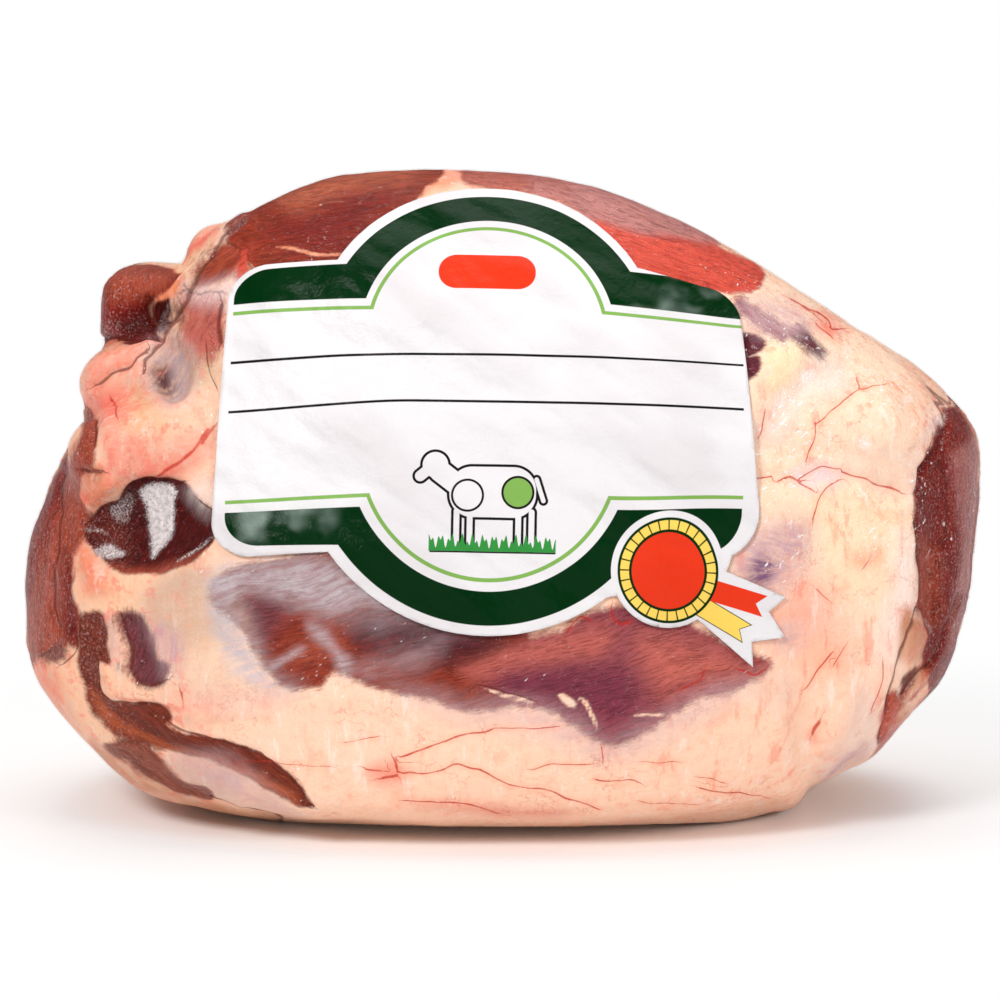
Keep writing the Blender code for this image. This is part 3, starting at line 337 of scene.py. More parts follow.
CUTS = (
    Line(((-68.3, 47), (-68.8, 42.2), (-68.3, 37.1)), 1, -1.2),
    Line(((-84.5, 47.5), (-84, 43.2), (-83.1, 37.8)), 0.9, -1.2),
    Line(((-97.3, 38.1), (-90.3, 38.1), (-83.1, 37.6)), 0.7, -1),
    Line(((-98, 27), (-93, 30), (-88, 32), (-85, 35)), 0.55, -1.2),
    Line(((-4.7, -45.6), (0.8, -47.5), (6.9, -49.4)), 0.3, -0.5),
    Line(((-61.8, -61.3), (-57.7, -62.7)), 0.7, -0.5),
    Line(((-62, 65), (-67, 62), (-72, 55), (-76, 47), (-81, 39), (-85, 33), (-86, 29)), 0.5, -1),
    Line(((-100, -6), (-97, -3), (-92, -1), (-89, 3), (-85, 5), (-77, 4)), 0.6, -1),
    Line(((-101.9, 6.4), (-97.8, 5.9)), 0.8, -1),
    Line(((-92, -29), (-90, -36), (-89, -42), (-85, -45), (-81, -44)), 0.55, -0.8),
    Line(((-96, -40), (-97, -47), (-95, -49), (-85, -50)), 0.5, -0.7),
    Line(((-80, -54), (-69, -59), (-58, -63), (-51, -67), (-45, -73)), 0.45, -0.6),
    Line(((-101.4, 19), (-99, 17.5), (-99.5, 12.5)), 0.5, -0.8),
    Line(((99, -6), (101, -12), (101, -19), (100, -26), (97, -35), (95, -41), (93, -49), (91, -58)), 0.6, -1),
    Line(((99.7, 1.1), (101.7, 7.4), (104.8, 10), (106.5, 11.7)), 0.22, -0.8),
    Line(((106.5, 8.3), (108, 4), (108, -5.7), (107, -11.7)), 0.5, -0.6),
    Line(((111, -23), (108, -31), (105, -38), (100, -42), (97, -48)), 0.55, -0.9),
    Line(((-5.2, -45.3), (-7.6, -46.8)), 0.2, -0.2),
    Line(((60.1, 37.8), (59.6, 29.1)), 0.8, -0.8),
    Line(((-71, -72), (-62, -76), (-53, -79)), 0.4, -0.6),
    Line(((-106.3, 5.9), (-106.8, -2.1), (-107.2, -11.7), (-108.7, -25), (-107.2, -31.1)), 0.35, -0.6),
    Line(((-103.4, -31.1), (-102.9, -35.9), (-106.8, -40.7)), 0.4, -0.6),
    Line(((-72.9, -0.8), (-68.5, -4)), 0.35, -0.4),
    Line(((-71.7, 36.6), (-71, 30.6), (-69, 26.7)), 0.25, -0.4),
)

FOLDS = (
    Line(((-62, 66), (-68, 62), (-74, 54), (-79, 46), (-82, 39), (-86, 33)), 1.6, 1.6),
    Line(((-87, 31), (-85, 27), (-80, 22), (-73, 23)), 2.5, 1.3),
    Line(((-96, -40), (-86, -45), (-73, -47)), 2.5, 1.3),
    Line(((62.5, 11.2), (72.2, 10), (84.3, 10.8), (97.6, 8.3)), 4, -1.6),
    Line(((62.5, 4.5), (72.2, 4), (84.3, 4.5), (96.4, 1.1)), 2, -1.3),
    Line(((96, 16), (98, -1), (97, -20), (94, -35), (91, -49), (87, -60)), 3.5, 1.9),
    Line(((67.3, -46.8), (67.8, -58.9), (69.8, -73.4)), 4, 1.4),
    Line(((75.8, -49.2), (74.1, -58.9), (75.8, -71)), 4, -1.4),
    Line(((83.1, -46.8), (81.4, -56.5), (77.5, -66.1)), 3, 1.3),
    Line(((64, 16), (70, 23), (76, 29), (83, 30)), 3, -1.3),
    Line(((58, 25), (66, 32), (72, 37)), 4, 1.1),
    Line(((-73, -49), (-49, -46), (-20, -50), (0, -52), (18, -58), (33, -59), (50, -49)), 4.5, 1.4),
    Line(((-60.8, -25), (-39, -29.9), (-19.7, -31.8)), 5, -1.0),
    Line(((-75, -15), (-85, -20), (-99, -23)), 4, 1.1),
    Line(((-85, -54), (-66, -63), (-46, -73)), 2.5, 1.4),
    Line(((-95, -58), (-78, -66), (-63, -73)), 2.2, 1.1),
    Line(((84.3, -15.4), (89.1, -25), (84.3, -37.1)), 6, 1.0),
    Line(((72.2, -15.4), (75.8, -27.4), (72.2, -39.5)), 6, -0.8),
    Line(((-48.7, -66.1), (-19.7, -68.5), (14.1, -69.8), (48, -67.3)), 9, 0.8),
)

# Where the bag stands off the meat: its silvery glare is painted on there as a milky white layer.
PAINTED_GLARES = (
    PaintedGlare(((-88, 1), (-85, 4), (-81, 4), (-78, 2), (-79, -2), (-80, -9), (-83, -14), (-85, -15), (-86, -11), (-87, -4)), 1, 1),
    PaintedGlare(((-99, -13.4), (-96.1, -11.2), (-91.8, -12), (-91.8, -13.9), (-96.1, -15.4)), 0.85, 1),
    PaintedGlare(((-78, -15), (-74, -12), (-69, -9), (-69, -10), (-73, -13), (-78, -16)), 0.9, 0.8),
    PaintedGlare(((-94.2, -2.8), (-90.3, 0.6), (-88.9, -0.8), (-90.3, -5.7), (-93.7, -5.7)), 0.6, 1.2),
    PaintedGlare(((-101.4, -8.6), (-99, -7.6), (-96.1, -8.6), (-94.2, -10.5), (-95.1, -10), (-97.6, -9.1), (-100.9, -9.3)), 0.6, 0.5),
    PaintedGlare(((-96.6, 41.5), (-94.2, 43.2), (-92.2, 39.8), (-95.6, 38.3)), 0.45, 1.5),
    PaintedGlare(((100, 14), (104, 19), (107, 20), (106, 17), (101, 13)), 0.85, 2),
    PaintedGlare(((86.2, 14.6), (88.1, 16.1), (90.1, 13.2), (88.6, 11.2), (86.2, 12.2)), 0.8, 1.5),
    PaintedGlare(((94.7, 22.8), (99.3, 23.8), (98.3, 21.4), (95.4, 20.9)), 0.7, 1.5),
    PaintedGlare(((71.7, 30.1), (74.6, 31.6), (76, 30.1), (73.1, 27.2)), 0.85, 1.2),
    PaintedGlare(((65.4, 22.4), (68.8, 26.2), (70.2, 25.3), (67.3, 20.9)), 0.7, 1.2),
    PaintedGlare(((80.4, 30.6), (82.3, 31.1), (82.3, 29.6), (80.9, 29.1)), 0.7, 1),
    PaintedGlare(((81.4, 35.4), (83.8, 36.9), (84.7, 34.9), (82.3, 34)), 0.6, 1.2),
    PaintedGlare(((-76.5, -42.4), (-71.7, -38.3), (-70, -40), (-72.9, -44.9), (-76.3, -45.3)), 0.35, 2),
    PaintedGlare(((-62, 67), (-68, 62), (-75, 52), (-80, 45), (-83, 39), (-81, 39), (-77, 48), (-71, 57), (-67, 61), (-61, 65)), 0.5, 1),
    PaintedGlare(((100.7, -29.4), (102.2, -30.3), (102.6, -32.8), (101.2, -32.3)), 0.6, 1),
    PaintedGlare(((-53.1, -38.6), (-48.2, -37.6), (-46.3, -39.5), (-48.7, -39), (-52.1, -39.5)), 0.5, 0.8),
    PaintedGlare(((24, 76), (33, 74), (46, 66), (48, 63), (41, 66), (29, 72)), 0.35, 2),
    PaintedGlare(((-61, 64), (-51, 71), (-39, 76), (-38, 75), (-49, 70), (-59, 63)), 0.28, 2),
)

# The sides that the front doesn't show, drawn in millimetres from the block's middle on each side's own plane.
OTHER_PATCHES = (
    Patch("back_upper_fat", Tissue.FAT, "fat_light", ((-110, 10), (-60, 30), (0, 60), (50, 70), (80, 40), (100, 10), (60, 0), (0, 10), (-60, -5)), soft=9.0, side=Side.BACK),
    Patch("back_lower_fat", Tissue.FAT, "fat_peach", ((-100, -20), (0, -10), (100, -20), (95, -60), (0, -74), (-95, -60)), soft=9.0, side=Side.BACK),
    Patch("back_blush", Tissue.FAT, "pink_rose", ((-80, -10), (-50, -2), (-40, -24), (-62, -36), (-84, -28)), soft=7.0, amount=0.6, side=Side.BACK),
    Patch("back_blush_far", Tissue.FAT, "pink_fat", ((40, -30), (80, -20), (90, -45), (50, -52)), soft=8.0, amount=0.7, side=Side.BACK),
    Patch("back_long", Tissue.MUSCLE, "purple_red", ((-62, 6), (-34, 20), (4, 20), (38, 8), (66, -12), (48, -24), (10, -22), (-28, -12), (-52, -8)), soft=2.2, grain=-14, side=Side.BACK),
    Patch("back_long_dark", Tissue.MUSCLE, "plum_dark", ((-30, 10), (0, 14), (24, 4), (20, -10), (-12, -8)), soft=6.0, grain=-14, tone=True, side=Side.BACK),
    Patch("back_window", Tissue.MUSCLE, "brown_red", ((-84, 22), (-62, 36), (-48, 32), (-56, 18), (-76, 12)), soft=1.6, grain=30, side=Side.BACK),
    Patch("back_low", Tissue.MUSCLE, "rose_red", ((54, -34), (84, -28), (92, -40), (72, -52), (52, -46)), soft=2.2, grain=-30, side=Side.BACK),
    Patch("back_skin", Tissue.SKIN, "silver_blue", ((-66, 0), (-30, 14), (10, 12), (60, -12), (70, -24), (40, -34), (-10, -30), (-50, -16)), soft=6.0, amount=0.55, side=Side.BACK),
    Patch("back_skin_high", Tissue.SKIN, "lavender_grey", ((-20, 36), (20, 44), (46, 30), (20, 24), (-10, 26)), soft=6.0, amount=0.6, side=Side.BACK),
    Patch("end_face", Tissue.MUSCLE, "deep_red", ((-36, 18), (-18, 27), (8, 29), (30, 20), (40, -2), (36, -30), (16, -44), (-14, -46), (-32, -32), (-40, -8)), soft=1.2, grain=86, side=Side.CUT_END),
    Patch("end_face_pale", Tissue.MUSCLE, "marbled_mauve", ((-6, 24), (12, 24), (20, 4), (14, -24), (0, -30), (-8, -6)), soft=2.5, grain=84, tone=True, side=Side.CUT_END),
    Patch("end_face_red", Tissue.MUSCLE, "orange_red", ((20, 12), (34, 4), (34, -24), (18, -38), (12, -20)), soft=3.0, grain=80, tone=True, side=Side.CUT_END),
    Patch("end_seam", Tissue.FAT, "tan_fat", ((-10, 26), (-6, 26), (-9, 2), (-2, -26), (6, -42), (0, -42), (-8, -28), (-14, 0)), soft=0.9, over=True, rise=0.6, side=Side.CUT_END),
    Patch("end_seam_far", Tissue.FAT, "fat_cream", ((16, 26), (20, 26), (25, 0), (20, -22), (28, -34), (22, -36), (15, -22), (20, 0)), soft=0.9, over=True, rise=0.6, side=Side.CUT_END),
    Patch("shank_face", Tissue.MUSCLE, "brick_red", ((-22, 12), (0, 22), (26, 14), (36, -8), (30, -34), (6, -44), (-14, -38), (-24, -12)), soft=1.6, grain=84, side=Side.SHANK_END),
    Patch("shank_face_dark", Tissue.MUSCLE, "deep_red", ((0, 14), (20, 10), (24, -14), (8, -30), (-4, -10)), soft=4.0, grain=84, tone=True, side=Side.SHANK_END),
    Patch("shank_seam", Tissue.FAT, "tan_fat", ((-4, 20), (2, 20), (-2, -2), (6, -24), (16, -38), (10, -38), (0, -26), (-8, -2)), soft=0.9, over=True, rise=0.6, side=Side.SHANK_END),
    Patch("shank_skin", Tissue.SKIN, "lavender_grey", ((-26, 8), (-10, 16), (-8, -20), (-22, -30), (-30, -10)), soft=4.0, amount=0.7, side=Side.SHANK_END),
    Patch("under_blush", Tissue.FAT, "pink_fat", ((-60, -20), (0, -30), (60, -10), (40, 20), (-30, 24)), soft=12.0, amount=0.7, side=Side.UNDER),
)

OTHER_VEINS = (
    Line(((-90, 4), (-70, -4), (-50, -26), (-20, -34)), 0.3, side=Side.BACK),
    Line(((-20, -34), (10, -40), (40, -36), (70, -44)), 0.3, side=Side.BACK),
    Line(((20, 40), (44, 26), (60, 6), (84, 0)), 0.3, side=Side.BACK),
    Line(((60, 6), (66, -10), (82, -18)), 0.25, side=Side.BACK),
    Line(((-40, 40), (-20, 48), (0, 42)), 0.3, side=Side.BACK),
)

OTHER_CUTS = (
    Line(((-64, 8), (-34, 22), (6, 22), (40, 10)), 0.5, -0.8, side=Side.BACK),
    Line(((-86, 24), (-62, 38), (-46, 33)), 0.5, -0.7, side=Side.BACK),
    Line(((-8, 24), (-11, 2), (-5, -26), (3, -42)), 0.5, -1.0, side=Side.CUT_END),
    Line(((22, 26), (26, 0), (22, -22), (28, -36)), 0.5, -1.0, side=Side.CUT_END),
    Line(((-36, 18), (-18, 28), (8, 30), (32, 20), (41, -2), (36, -31), (16, -45), (-14, -47)), 0.5, -0.8, side=Side.CUT_END),
    Line(((2, 20), (-2, -2), (6, -24), (16, -38)), 0.5, -1.0, side=Side.SHANK_END),
)

OTHER_FOLDS = (
    Line(((-100, 10), (-50, 34), (20, 40), (70, 20)), 5.0, 0.9, side=Side.BACK),
    Line(((-80, -30), (0, -40), (80, -30)), 7.0, 0.8, side=Side.BACK),
    Line(((-60, 8), (-30, 22), (6, 22)), 3.0, -0.8, side=Side.BACK),
    Line(((70, 30), (80, 0), (70, -40)), 5.0, -0.8, side=Side.BACK),
    Line(((-38, 24), (0, 36), (38, 22), (46, -10), (36, -40)), 3.5, 1.0, side=Side.CUT_END),
    Line(((-80, 30), (0, 20), (80, 26)), 6.0, 0.6, side=Side.TOP),
)


def smooth_path(points: Points, closed: bool, steps: int = 6) -> np.ndarray:
    """A smooth curve through the points.

    Args:
        points: Corners of the curve, in order.
        closed: Whether the last joins the first.
        steps: How many pieces each span is cut into.

    Returns:
        The curve as rows of x and y.
    """
    given = np.array(points, dtype=float)
    before, after = (given[-1:], given[:2]) if closed else (given[:1], given[-1:])
    knots = np.vstack([before, given, after])
    rows = []
    for a, b, c, d in zip(knots, knots[1:], knots[2:], knots[3:]):
        for t in np.linspace(0.0, 1.0, steps, endpoint=False):
            rows.append(0.5 * (2 * b + (c - a) * t + (2 * a - 5 * b + 4 * c - d) * t**2 + (3 * b - a - 3 * c + d) * t**3))
    if not closed:
        rows.append(given[-1])
    return np.array(rows)


def nearest_on_path(spots: np.ndarray, path: np.ndarray, closed: bool) -> tuple[np.ndarray, np.ndarray]:
    """How far each spot is from a path.

    Args:
        spots: Rows of x and y.
        path: The path's corners.
        closed: Whether the last joins the first.

    Returns:
        The distance, and the same with the sign of the side that the spot is on.
    """
    ends = np.vstack([path[1:], path[:1]]) if closed else path[1:]
    starts = path if closed else path[:-1]
    best = np.full(len(spots), np.inf)
    side = np.zeros(len(spots))
    for start, end in zip(starts, ends):
        run = end - start
        offset = spots - start
        share = np.clip(offset @ run / max(run @ run, 1e-9), 0.0, 1.0)
        gap = np.hypot(*(offset - share[:, None] * run).T)
        closer = gap < best
        best[closer] = gap[closer]
        cross = run[0] * offset[:, 1] - run[1] * offset[:, 0]
        side[closer] = np.where(cross[closer] < 0, -gap[closer], gap[closer])
    return best, side


def inside_path(spots: np.ndarray, path: np.ndarray) -> np.ndarray:
    """Which spots lie inside a closed path."""
    odd = np.zeros(len(spots), dtype=bool)
    x, y = spots.T
    for (x0, y0), (x1, y1) in zip(path, np.roll(path, -1, axis=0)):
        if y0 != y1:
            spans = (y0 > y) != (y1 > y)
            odd ^= spans & (x < (x1 - x0) * (y - y0) / (y1 - y0) + x0)
    return odd


FAR = -30.0


def depth_in(spots: np.ndarray, outline: Points, margin: float = 14.0) -> np.ndarray:
    """How deep each spot lies inside a closed outline, in its units. Outside is less than 0."""
    path = smooth_path(outline, closed=True)
    depth = np.full(len(spots), FAR)
    near = ((spots > path.min(0) - margin) & (spots < path.max(0) + margin)).all(1)
    if near.any():
        gap, _ = nearest_on_path(spots[near], path, closed=True)
        depth[near] = np.where(inside_path(spots[near], path), gap, -gap)
    return depth


def wander(spots: np.ndarray, size: float, seed: float) -> np.ndarray:
    """Smooth noise in three directions, from -1 to 1, with features of a size in the spots' units."""
    shift = Vector((seed, seed * 1.7, -seed))
    return np.array([noise.noise_vector(Vector(p) / size + shift) for p in spots])


class Signal:
    """A value or colour inside a surface's shader, which Python's own operators combine."""

    def __init__(self, maker: "Shader", socket: bpy.types.NodeSocket) -> None:
        """Keep the socket and the shader that it belongs to."""
        self.maker = maker
        self.socket = socket

    def _math(self, operation: str, *values: "Signal | float") -> "Signal":
        """One step of arithmetic."""
        return self.maker.node("ShaderNodeMath", {"operation": operation}, dict(enumerate(values)))

    def __add__(self, other: "Signal | float") -> "Signal":
        """Sum."""
        return self._math("ADD", self, other)

    __radd__ = __add__

    def __sub__(self, other: "Signal | float") -> "Signal":
        """Difference."""
        return self._math("SUBTRACT", self, other)

    def __rsub__(self, other: float) -> "Signal":
        """Difference from a number."""
        return self._math("SUBTRACT", other, self)

    def __mul__(self, other: "Signal | float") -> "Signal":
        """Product."""
        return self._math("MULTIPLY", self, other)

    __rmul__ = __mul__

    def __truediv__(self, other: "Signal | float") -> "Signal":
        """Quotient."""
        return self._math("DIVIDE", self, other)

    def __neg__(self) -> "Signal":
        """The opposite."""
        return self * -1.0

    def __abs__(self) -> "Signal":
        """Size without sign."""
        return self._math("ABSOLUTE", self)

    def __pow__(self, power: float) -> "Signal":
        """Power."""
        return self._math("POWER", self, power)

    def least(self, other: "Signal | float") -> "Signal":
        """The lesser of two."""
        return self._math("MINIMUM", self, other)

    def most(self, other: "Signal | float") -> "Signal":
        """The greater of two."""
        return self._math("MAXIMUM", self, other)

    def root(self) -> "Signal":
        """Square root."""
        return self._math("SQRT", self)

    def sine(self) -> "Signal":
        """Sine."""
        return self._math("SINE", self)

    def angle(self, other: "Signal") -> "Signal":
        """The angle of this and the other as a point's y and x."""
        return self._math("ARCTAN2", self, other)

    def step(self, low: float, high: float) -> "Signal":
        """A smooth step from 0 at low to 1 at high."""
        settings = {"interpolation_type": "SMOOTHSTEP"}
        return self.maker.node("ShaderNodeMapRange", settings, {"Value": self, "From Min": low, "From Max": high})

    def inside(self, blur: float = 0.08) -> "Signal":
        """1 where a distance is below 0."""
        return self.step(blur, -blur)


class Shader:
    """One material's node tree, built a node at a time."""

    def __init__(self, name: str) -> None:
        """Start an empty material."""
        self.material = bpy.data.materials.new(name)
        self.material.use_nodes = True
        self.tree = self.material.node_tree
        self.tree.nodes.clear()

    def node(self, kind: str, settings: dict, values: dict, output: int | str = 0) -> Signal:
        """Add any node.

        Args:
            kind: The node's type.
            settings: Its own settings, set first.
            values: Numbers, colours or signals for its sockets, by name or place.
            output: The socket that it gives back.

        Returns:
            The output as a signal.
        """
        made = self.tree.nodes.new(kind)
        for name, value in settings.items():
            setattr(made, name, value)
        for name, value in values.items():
            if isinstance(value, Signal):
                self.tree.links.new(value.socket, made.inputs[name])
            else:
                made.inputs[name].default_value = value
        return Signal(self, made.outputs[output])

    def read(self, name: str, output: str = "Fac") -> Signal:
        """One of the mesh's own attributes."""
        return self.node("ShaderNodeAttribute", {"attribute_name": name}, {}, output)

    def position(self) -> Signal:
        """The place on the object, in metres."""
        return self.node("ShaderNodeTexCoord", {}, {}, "Object")

    def scaled(self, vector: Signal, factors: tuple[float, float, float]) -> Signal:
        """A vector with each direction multiplied."""
        return self.node("ShaderNodeVectorMath", {"operation": "MULTIPLY"}, {0: vector, 1: factors}, "Vector")

    def noise(self, vector: Signal, scale: float, detail: float = 2.0, rough: float = 0.5) -> Signal:
        """Smooth noise from 0 to 1."""
        values = {"Vector": vector, "Scale": scale, "Detail": detail, "Roughness": rough}
        return self.node("ShaderNodeTexNoise", {}, values, 0)

    def mix(self, factor: Signal | float, first: Signal | tuple, second: Signal | tuple) -> Signal:
        """A colour between two."""
        values = {0: factor, 6: self._colour(first), 7: self._colour(second)}
        return self.node("ShaderNodeMix", {"data_type": "RGBA"}, values, 2)

    def blend(self, mode: str, factor: Signal | float, first: Signal | tuple, second: Signal | tuple) -> Signal:
        """Two colours combined another way, such as MULTIPLY."""
        values = {0: factor, 6: self._colour(first), 7: self._colour(second)}
        return self.node("ShaderNodeMix", {"data_type": "RGBA", "blend_type": mode}, values, 2)

    def grey(self, value: Signal) -> Signal:
        """A value as a colour."""
        return self.node("ShaderNodeCombineColor", {}, {0: value, 1: value, 2: value})

    def bump(self, height: Signal, distance: float, strength: float = 1.0) -> Signal:
        """A surface normal pushed by a height from 0 to 1."""
        return self.node("ShaderNodeBump", {}, {"Height": height, "Distance": distance, "Strength": strength})

    def finish(self, surface: Signal) -> bpy.types.Material:
        """Send the surface to the material's output."""
        end = self.tree.nodes.new("ShaderNodeOutputMaterial")
        self.tree.links.new(surface.socket, end.inputs["Surface"])
        return self.material

    @staticmethod
    def _colour(value: Signal | tuple) -> Signal | tuple:
        """A colour with its alpha."""
        return value if isinstance(value, Signal) else (*value[:3], 1.0)


class Skin:
    """A triangle mesh held as arrays while it is shaped, in millimetres."""

    def __init__(self, mesh: bpy.types.Mesh) -> None:
        """Take the mesh over."""
        self.mesh = mesh
        self.points = self._gather("co") / MM
        self.normals = self._gather("normal")

    def _gather(self, what: str) -> np.ndarray:
        """One vector of every vertex."""
        values = np.empty(len(self.mesh.vertices) * 3, dtype=np.float32)
        self.mesh.vertices.foreach_get(what, values)
        return values.reshape(-1, 3).astype(float)

    def push(self, heights: np.ndarray) -> None:
        """Move every vertex along its normal, and find the normals again."""
        self.place(self.points + self.normals * heights[:, None])

    def place(self, points: np.ndarray) -> None:
        """Put every vertex where it is told, and find the normals again."""
        self.points = points
        self.mesh.vertices.foreach_set("co", (points * MM).astype(np.float32).ravel())
        self.mesh.update()
        self.normals = self._gather("normal")

    def smoothed(self, values: np.ndarray, rounds: int) -> np.ndarray:
        """Values averaged with their neighbours', a number of times."""
        pairs = np.empty(len(self.mesh.edges) * 2, dtype=np.int32)
        self.mesh.edges.foreach_get("vertices", pairs)
        first, second = pairs.reshape(-1, 2).T
        count = np.bincount(pairs, minlength=len(values)).astype(float)
        columns = values.reshape(len(values), -1).copy()
        for _ in range(rounds):
            for k in range(columns.shape[1]):
                total = np.bincount(first, columns[second, k], len(values))
                total += np.bincount(second, columns[first, k], len(values))
                columns[:, k] = 0.5 * columns[:, k] + 0.5 * total / np.maximum(count, 1.0)
        return columns.reshape(values.shape)

    def keep(self, name: str, values: np.ndarray) -> None:
        """Store one number, vector or colour for every vertex."""
        kinds = {1: ("FLOAT", "value"), 3: ("FLOAT_VECTOR", "vector"), 4: ("FLOAT_COLOR", "color")}
        kind, key = kinds[1 if values.ndim == 1 else values.shape[1]]
        made = self.mesh.attributes.new(name, kind, "POINT")
        made.data.foreach_set(key, values.astype(np.float32).ravel())


def evaluated(obj: bpy.types.Object) -> bpy.types.Mesh:
    """The object's mesh with its modifiers applied. The object is removed."""
    graph = bpy.context.evaluated_depsgraph_get()
    mesh = bpy.data.meshes.new_from_object(obj.evaluated_get(graph), depsgraph=graph)
    bpy.data.objects.remove(obj)
    return mesh


def temporary(mesh: bpy.types.Mesh) -> bpy.types.Object:
    """The mesh as an object for a modifier to work on."""
    obj = bpy.data.objects.new("working", mesh)
    bpy.context.scene.collection.objects.link(obj)
    return obj


def piece(name: str, mesh: bpy.types.Mesh, material: bpy.types.Material) -> bpy.types.Object:
    """A finished piece that rides on the part.

    Args:
        name: What it is called.
        mesh: Its mesh, in place.
        material: Its surface.

    Returns:
        The object.
    """
    mesh.name = name
    mesh.materials.clear()
    mesh.materials.append(material)
    mesh.shade_smooth()
    obj = bpy.data.objects.new(name, mesh)
    bpy.context.scene.collection.objects.link(obj)
    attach(obj, "root")
    log.info("%s: %d faces", name, len(mesh.polygons))
    return obj


@dataclass
class Drawing:
    """How places on the block map to the flat drawings of its sides."""

    distance: float = EYE_DISTANCE
    elevation: float = EYE_ELEVATION
    aim: tuple[float, float, float] = EYE_AIM

    def axes(self) -> tuple[np.ndarray, np.ndarray, np.ndarray]:
        """The front's way in, its way up, and the point that it is drawn from."""
        inward = np.array([0.0, math.cos(self.elevation), -math.sin(self.elevation)])
        upward = np.array([0.0, math.sin(self.elevation), math.cos(self.elevation)])
        return inward, upward, np.array(self.aim) - inward * self.distance

    def spots(self, points: np.ndarray, side: Side) -> np.ndarray:
        """Where points of the block fall on a side's drawing."""
        x, y, z = points.T
        up = z - self.aim[2]
        if side is Side.FRONT:
            inward, upward, eye = self.axes()
            reach = points - eye
            scale = self.distance / (reach @ inward)
            return np.stack([reach[:, 0] * scale, (reach @ upward) * scale], axis=1)
        flat = {
            Side.BACK: (-x, up), Side.CUT_END: (y, up), Side.SHANK_END: (-y, up), Side.TOP: (x, y), Side.UNDER: (x, -y),
        }
        return np.stack(flat[side], axis=1)

    def turned(self, normals: np.ndarray, side: Side) -> np.ndarray:
        """How squarely each place faces a side, from 0 to 1."""
        facing = {
            Side.FRONT: -self.axes()[0], Side.BACK: (0, 1, 0), Side.CUT_END: (1, 0, 0),
            Side.SHANK_END: (-1, 0, 0), Side.TOP: (0, 0, 1), Side.UNDER: (0, 0, -1),
        }
        low, high = (-0.35, 0.0) if side is Side.FRONT else (0.2, 0.65)
        return ease(low, high, normals @ np.array(facing[side], dtype=float))


class Chart:
    """Every vertex of the meat on every side's drawing, for patches and lines to be measured on."""

    fade = 16.0

    def __init__(self, skin: Skin) -> None:
        """Place the skin's vertices on each drawing, with the edges made to wander."""
        drawing = Drawing()
        sway = 1.1 * wander(skin.points, 11.0, 3.1) + 0.5 * wander(skin.points, 4.0, 7.7)
        loose = 7.0 * wander(skin.points, 30.0, 6.3) + 3.0 * wander(skin.points, 12.0, 2.9) + sway
        self.spots = {
            side: drawing.spots(skin.points, side) + (sway if side is Side.FRONT else loose)[:, :2] for side in Side
        }
        self.turned = {side: drawing.turned(skin.normals, side) for side in Side}

    def depth(self, patch: Patch) -> np.ndarray:
        """How deep each vertex lies in a patch, in millimetres."""
        depth = depth_in(self.spots[patch.side], patch.outline)
        if patch.wraps:
            return depth
        return depth - self.fade * (1.0 - self.turned[patch.side])

    def nearest(self, lines: Iterable[Line]) -> np.ndarray:
        """For each vertex: the side and distance of the nearest line, and its half width."""
        best = np.full(len(self.spots[Side.FRONT]), -FAR)
        found = np.stack([best, best, best * 0.0], axis=1)
        for line in lines:
            path = smooth_path(line.path, closed=False, steps=4)
            spots = self.spots[line.side]
            near = ((spots > path.min(0) - 6.0) & (spots < path.max(0) + 6.0)).all(1)
            near &= self.turned[line.side] > 0.3
            if not near.any():
                continue
            gap, side = nearest_on_path(spots[near], path, closed=False)
            where = np.flatnonzero(near)
            closer = gap < best[where]
            where = where[closer]
            best[where] = gap[closer]
            found[where] = np.stack([side[closer], gap[closer], np.full(closer.sum(), line.half_width)], axis=1)
        return found

    def relief(self, lines: Iterable[Line]) -> np.ndarray:
        """The height that folds and cuts give each vertex."""
        height = np.zeros(len(self.spots[Side.FRONT]))
        for line in lines:
            path = smooth_path(line.path, closed=False, steps=4)
            spots = self.spots[line.side]
            width = max(line.half_width * 1.2, 0.8)
            margin = 3.0 * width
            near = ((spots > path.min(0) - margin) & (spots < path.max(0) + margin)).all(1)
            if near.any():
                gap, _ = nearest_on_path(spots[near], path, closed=False)
                height[near] += line.rise * np.exp(-((gap / width) ** 2)) * self.turned[line.side][near]
        return height


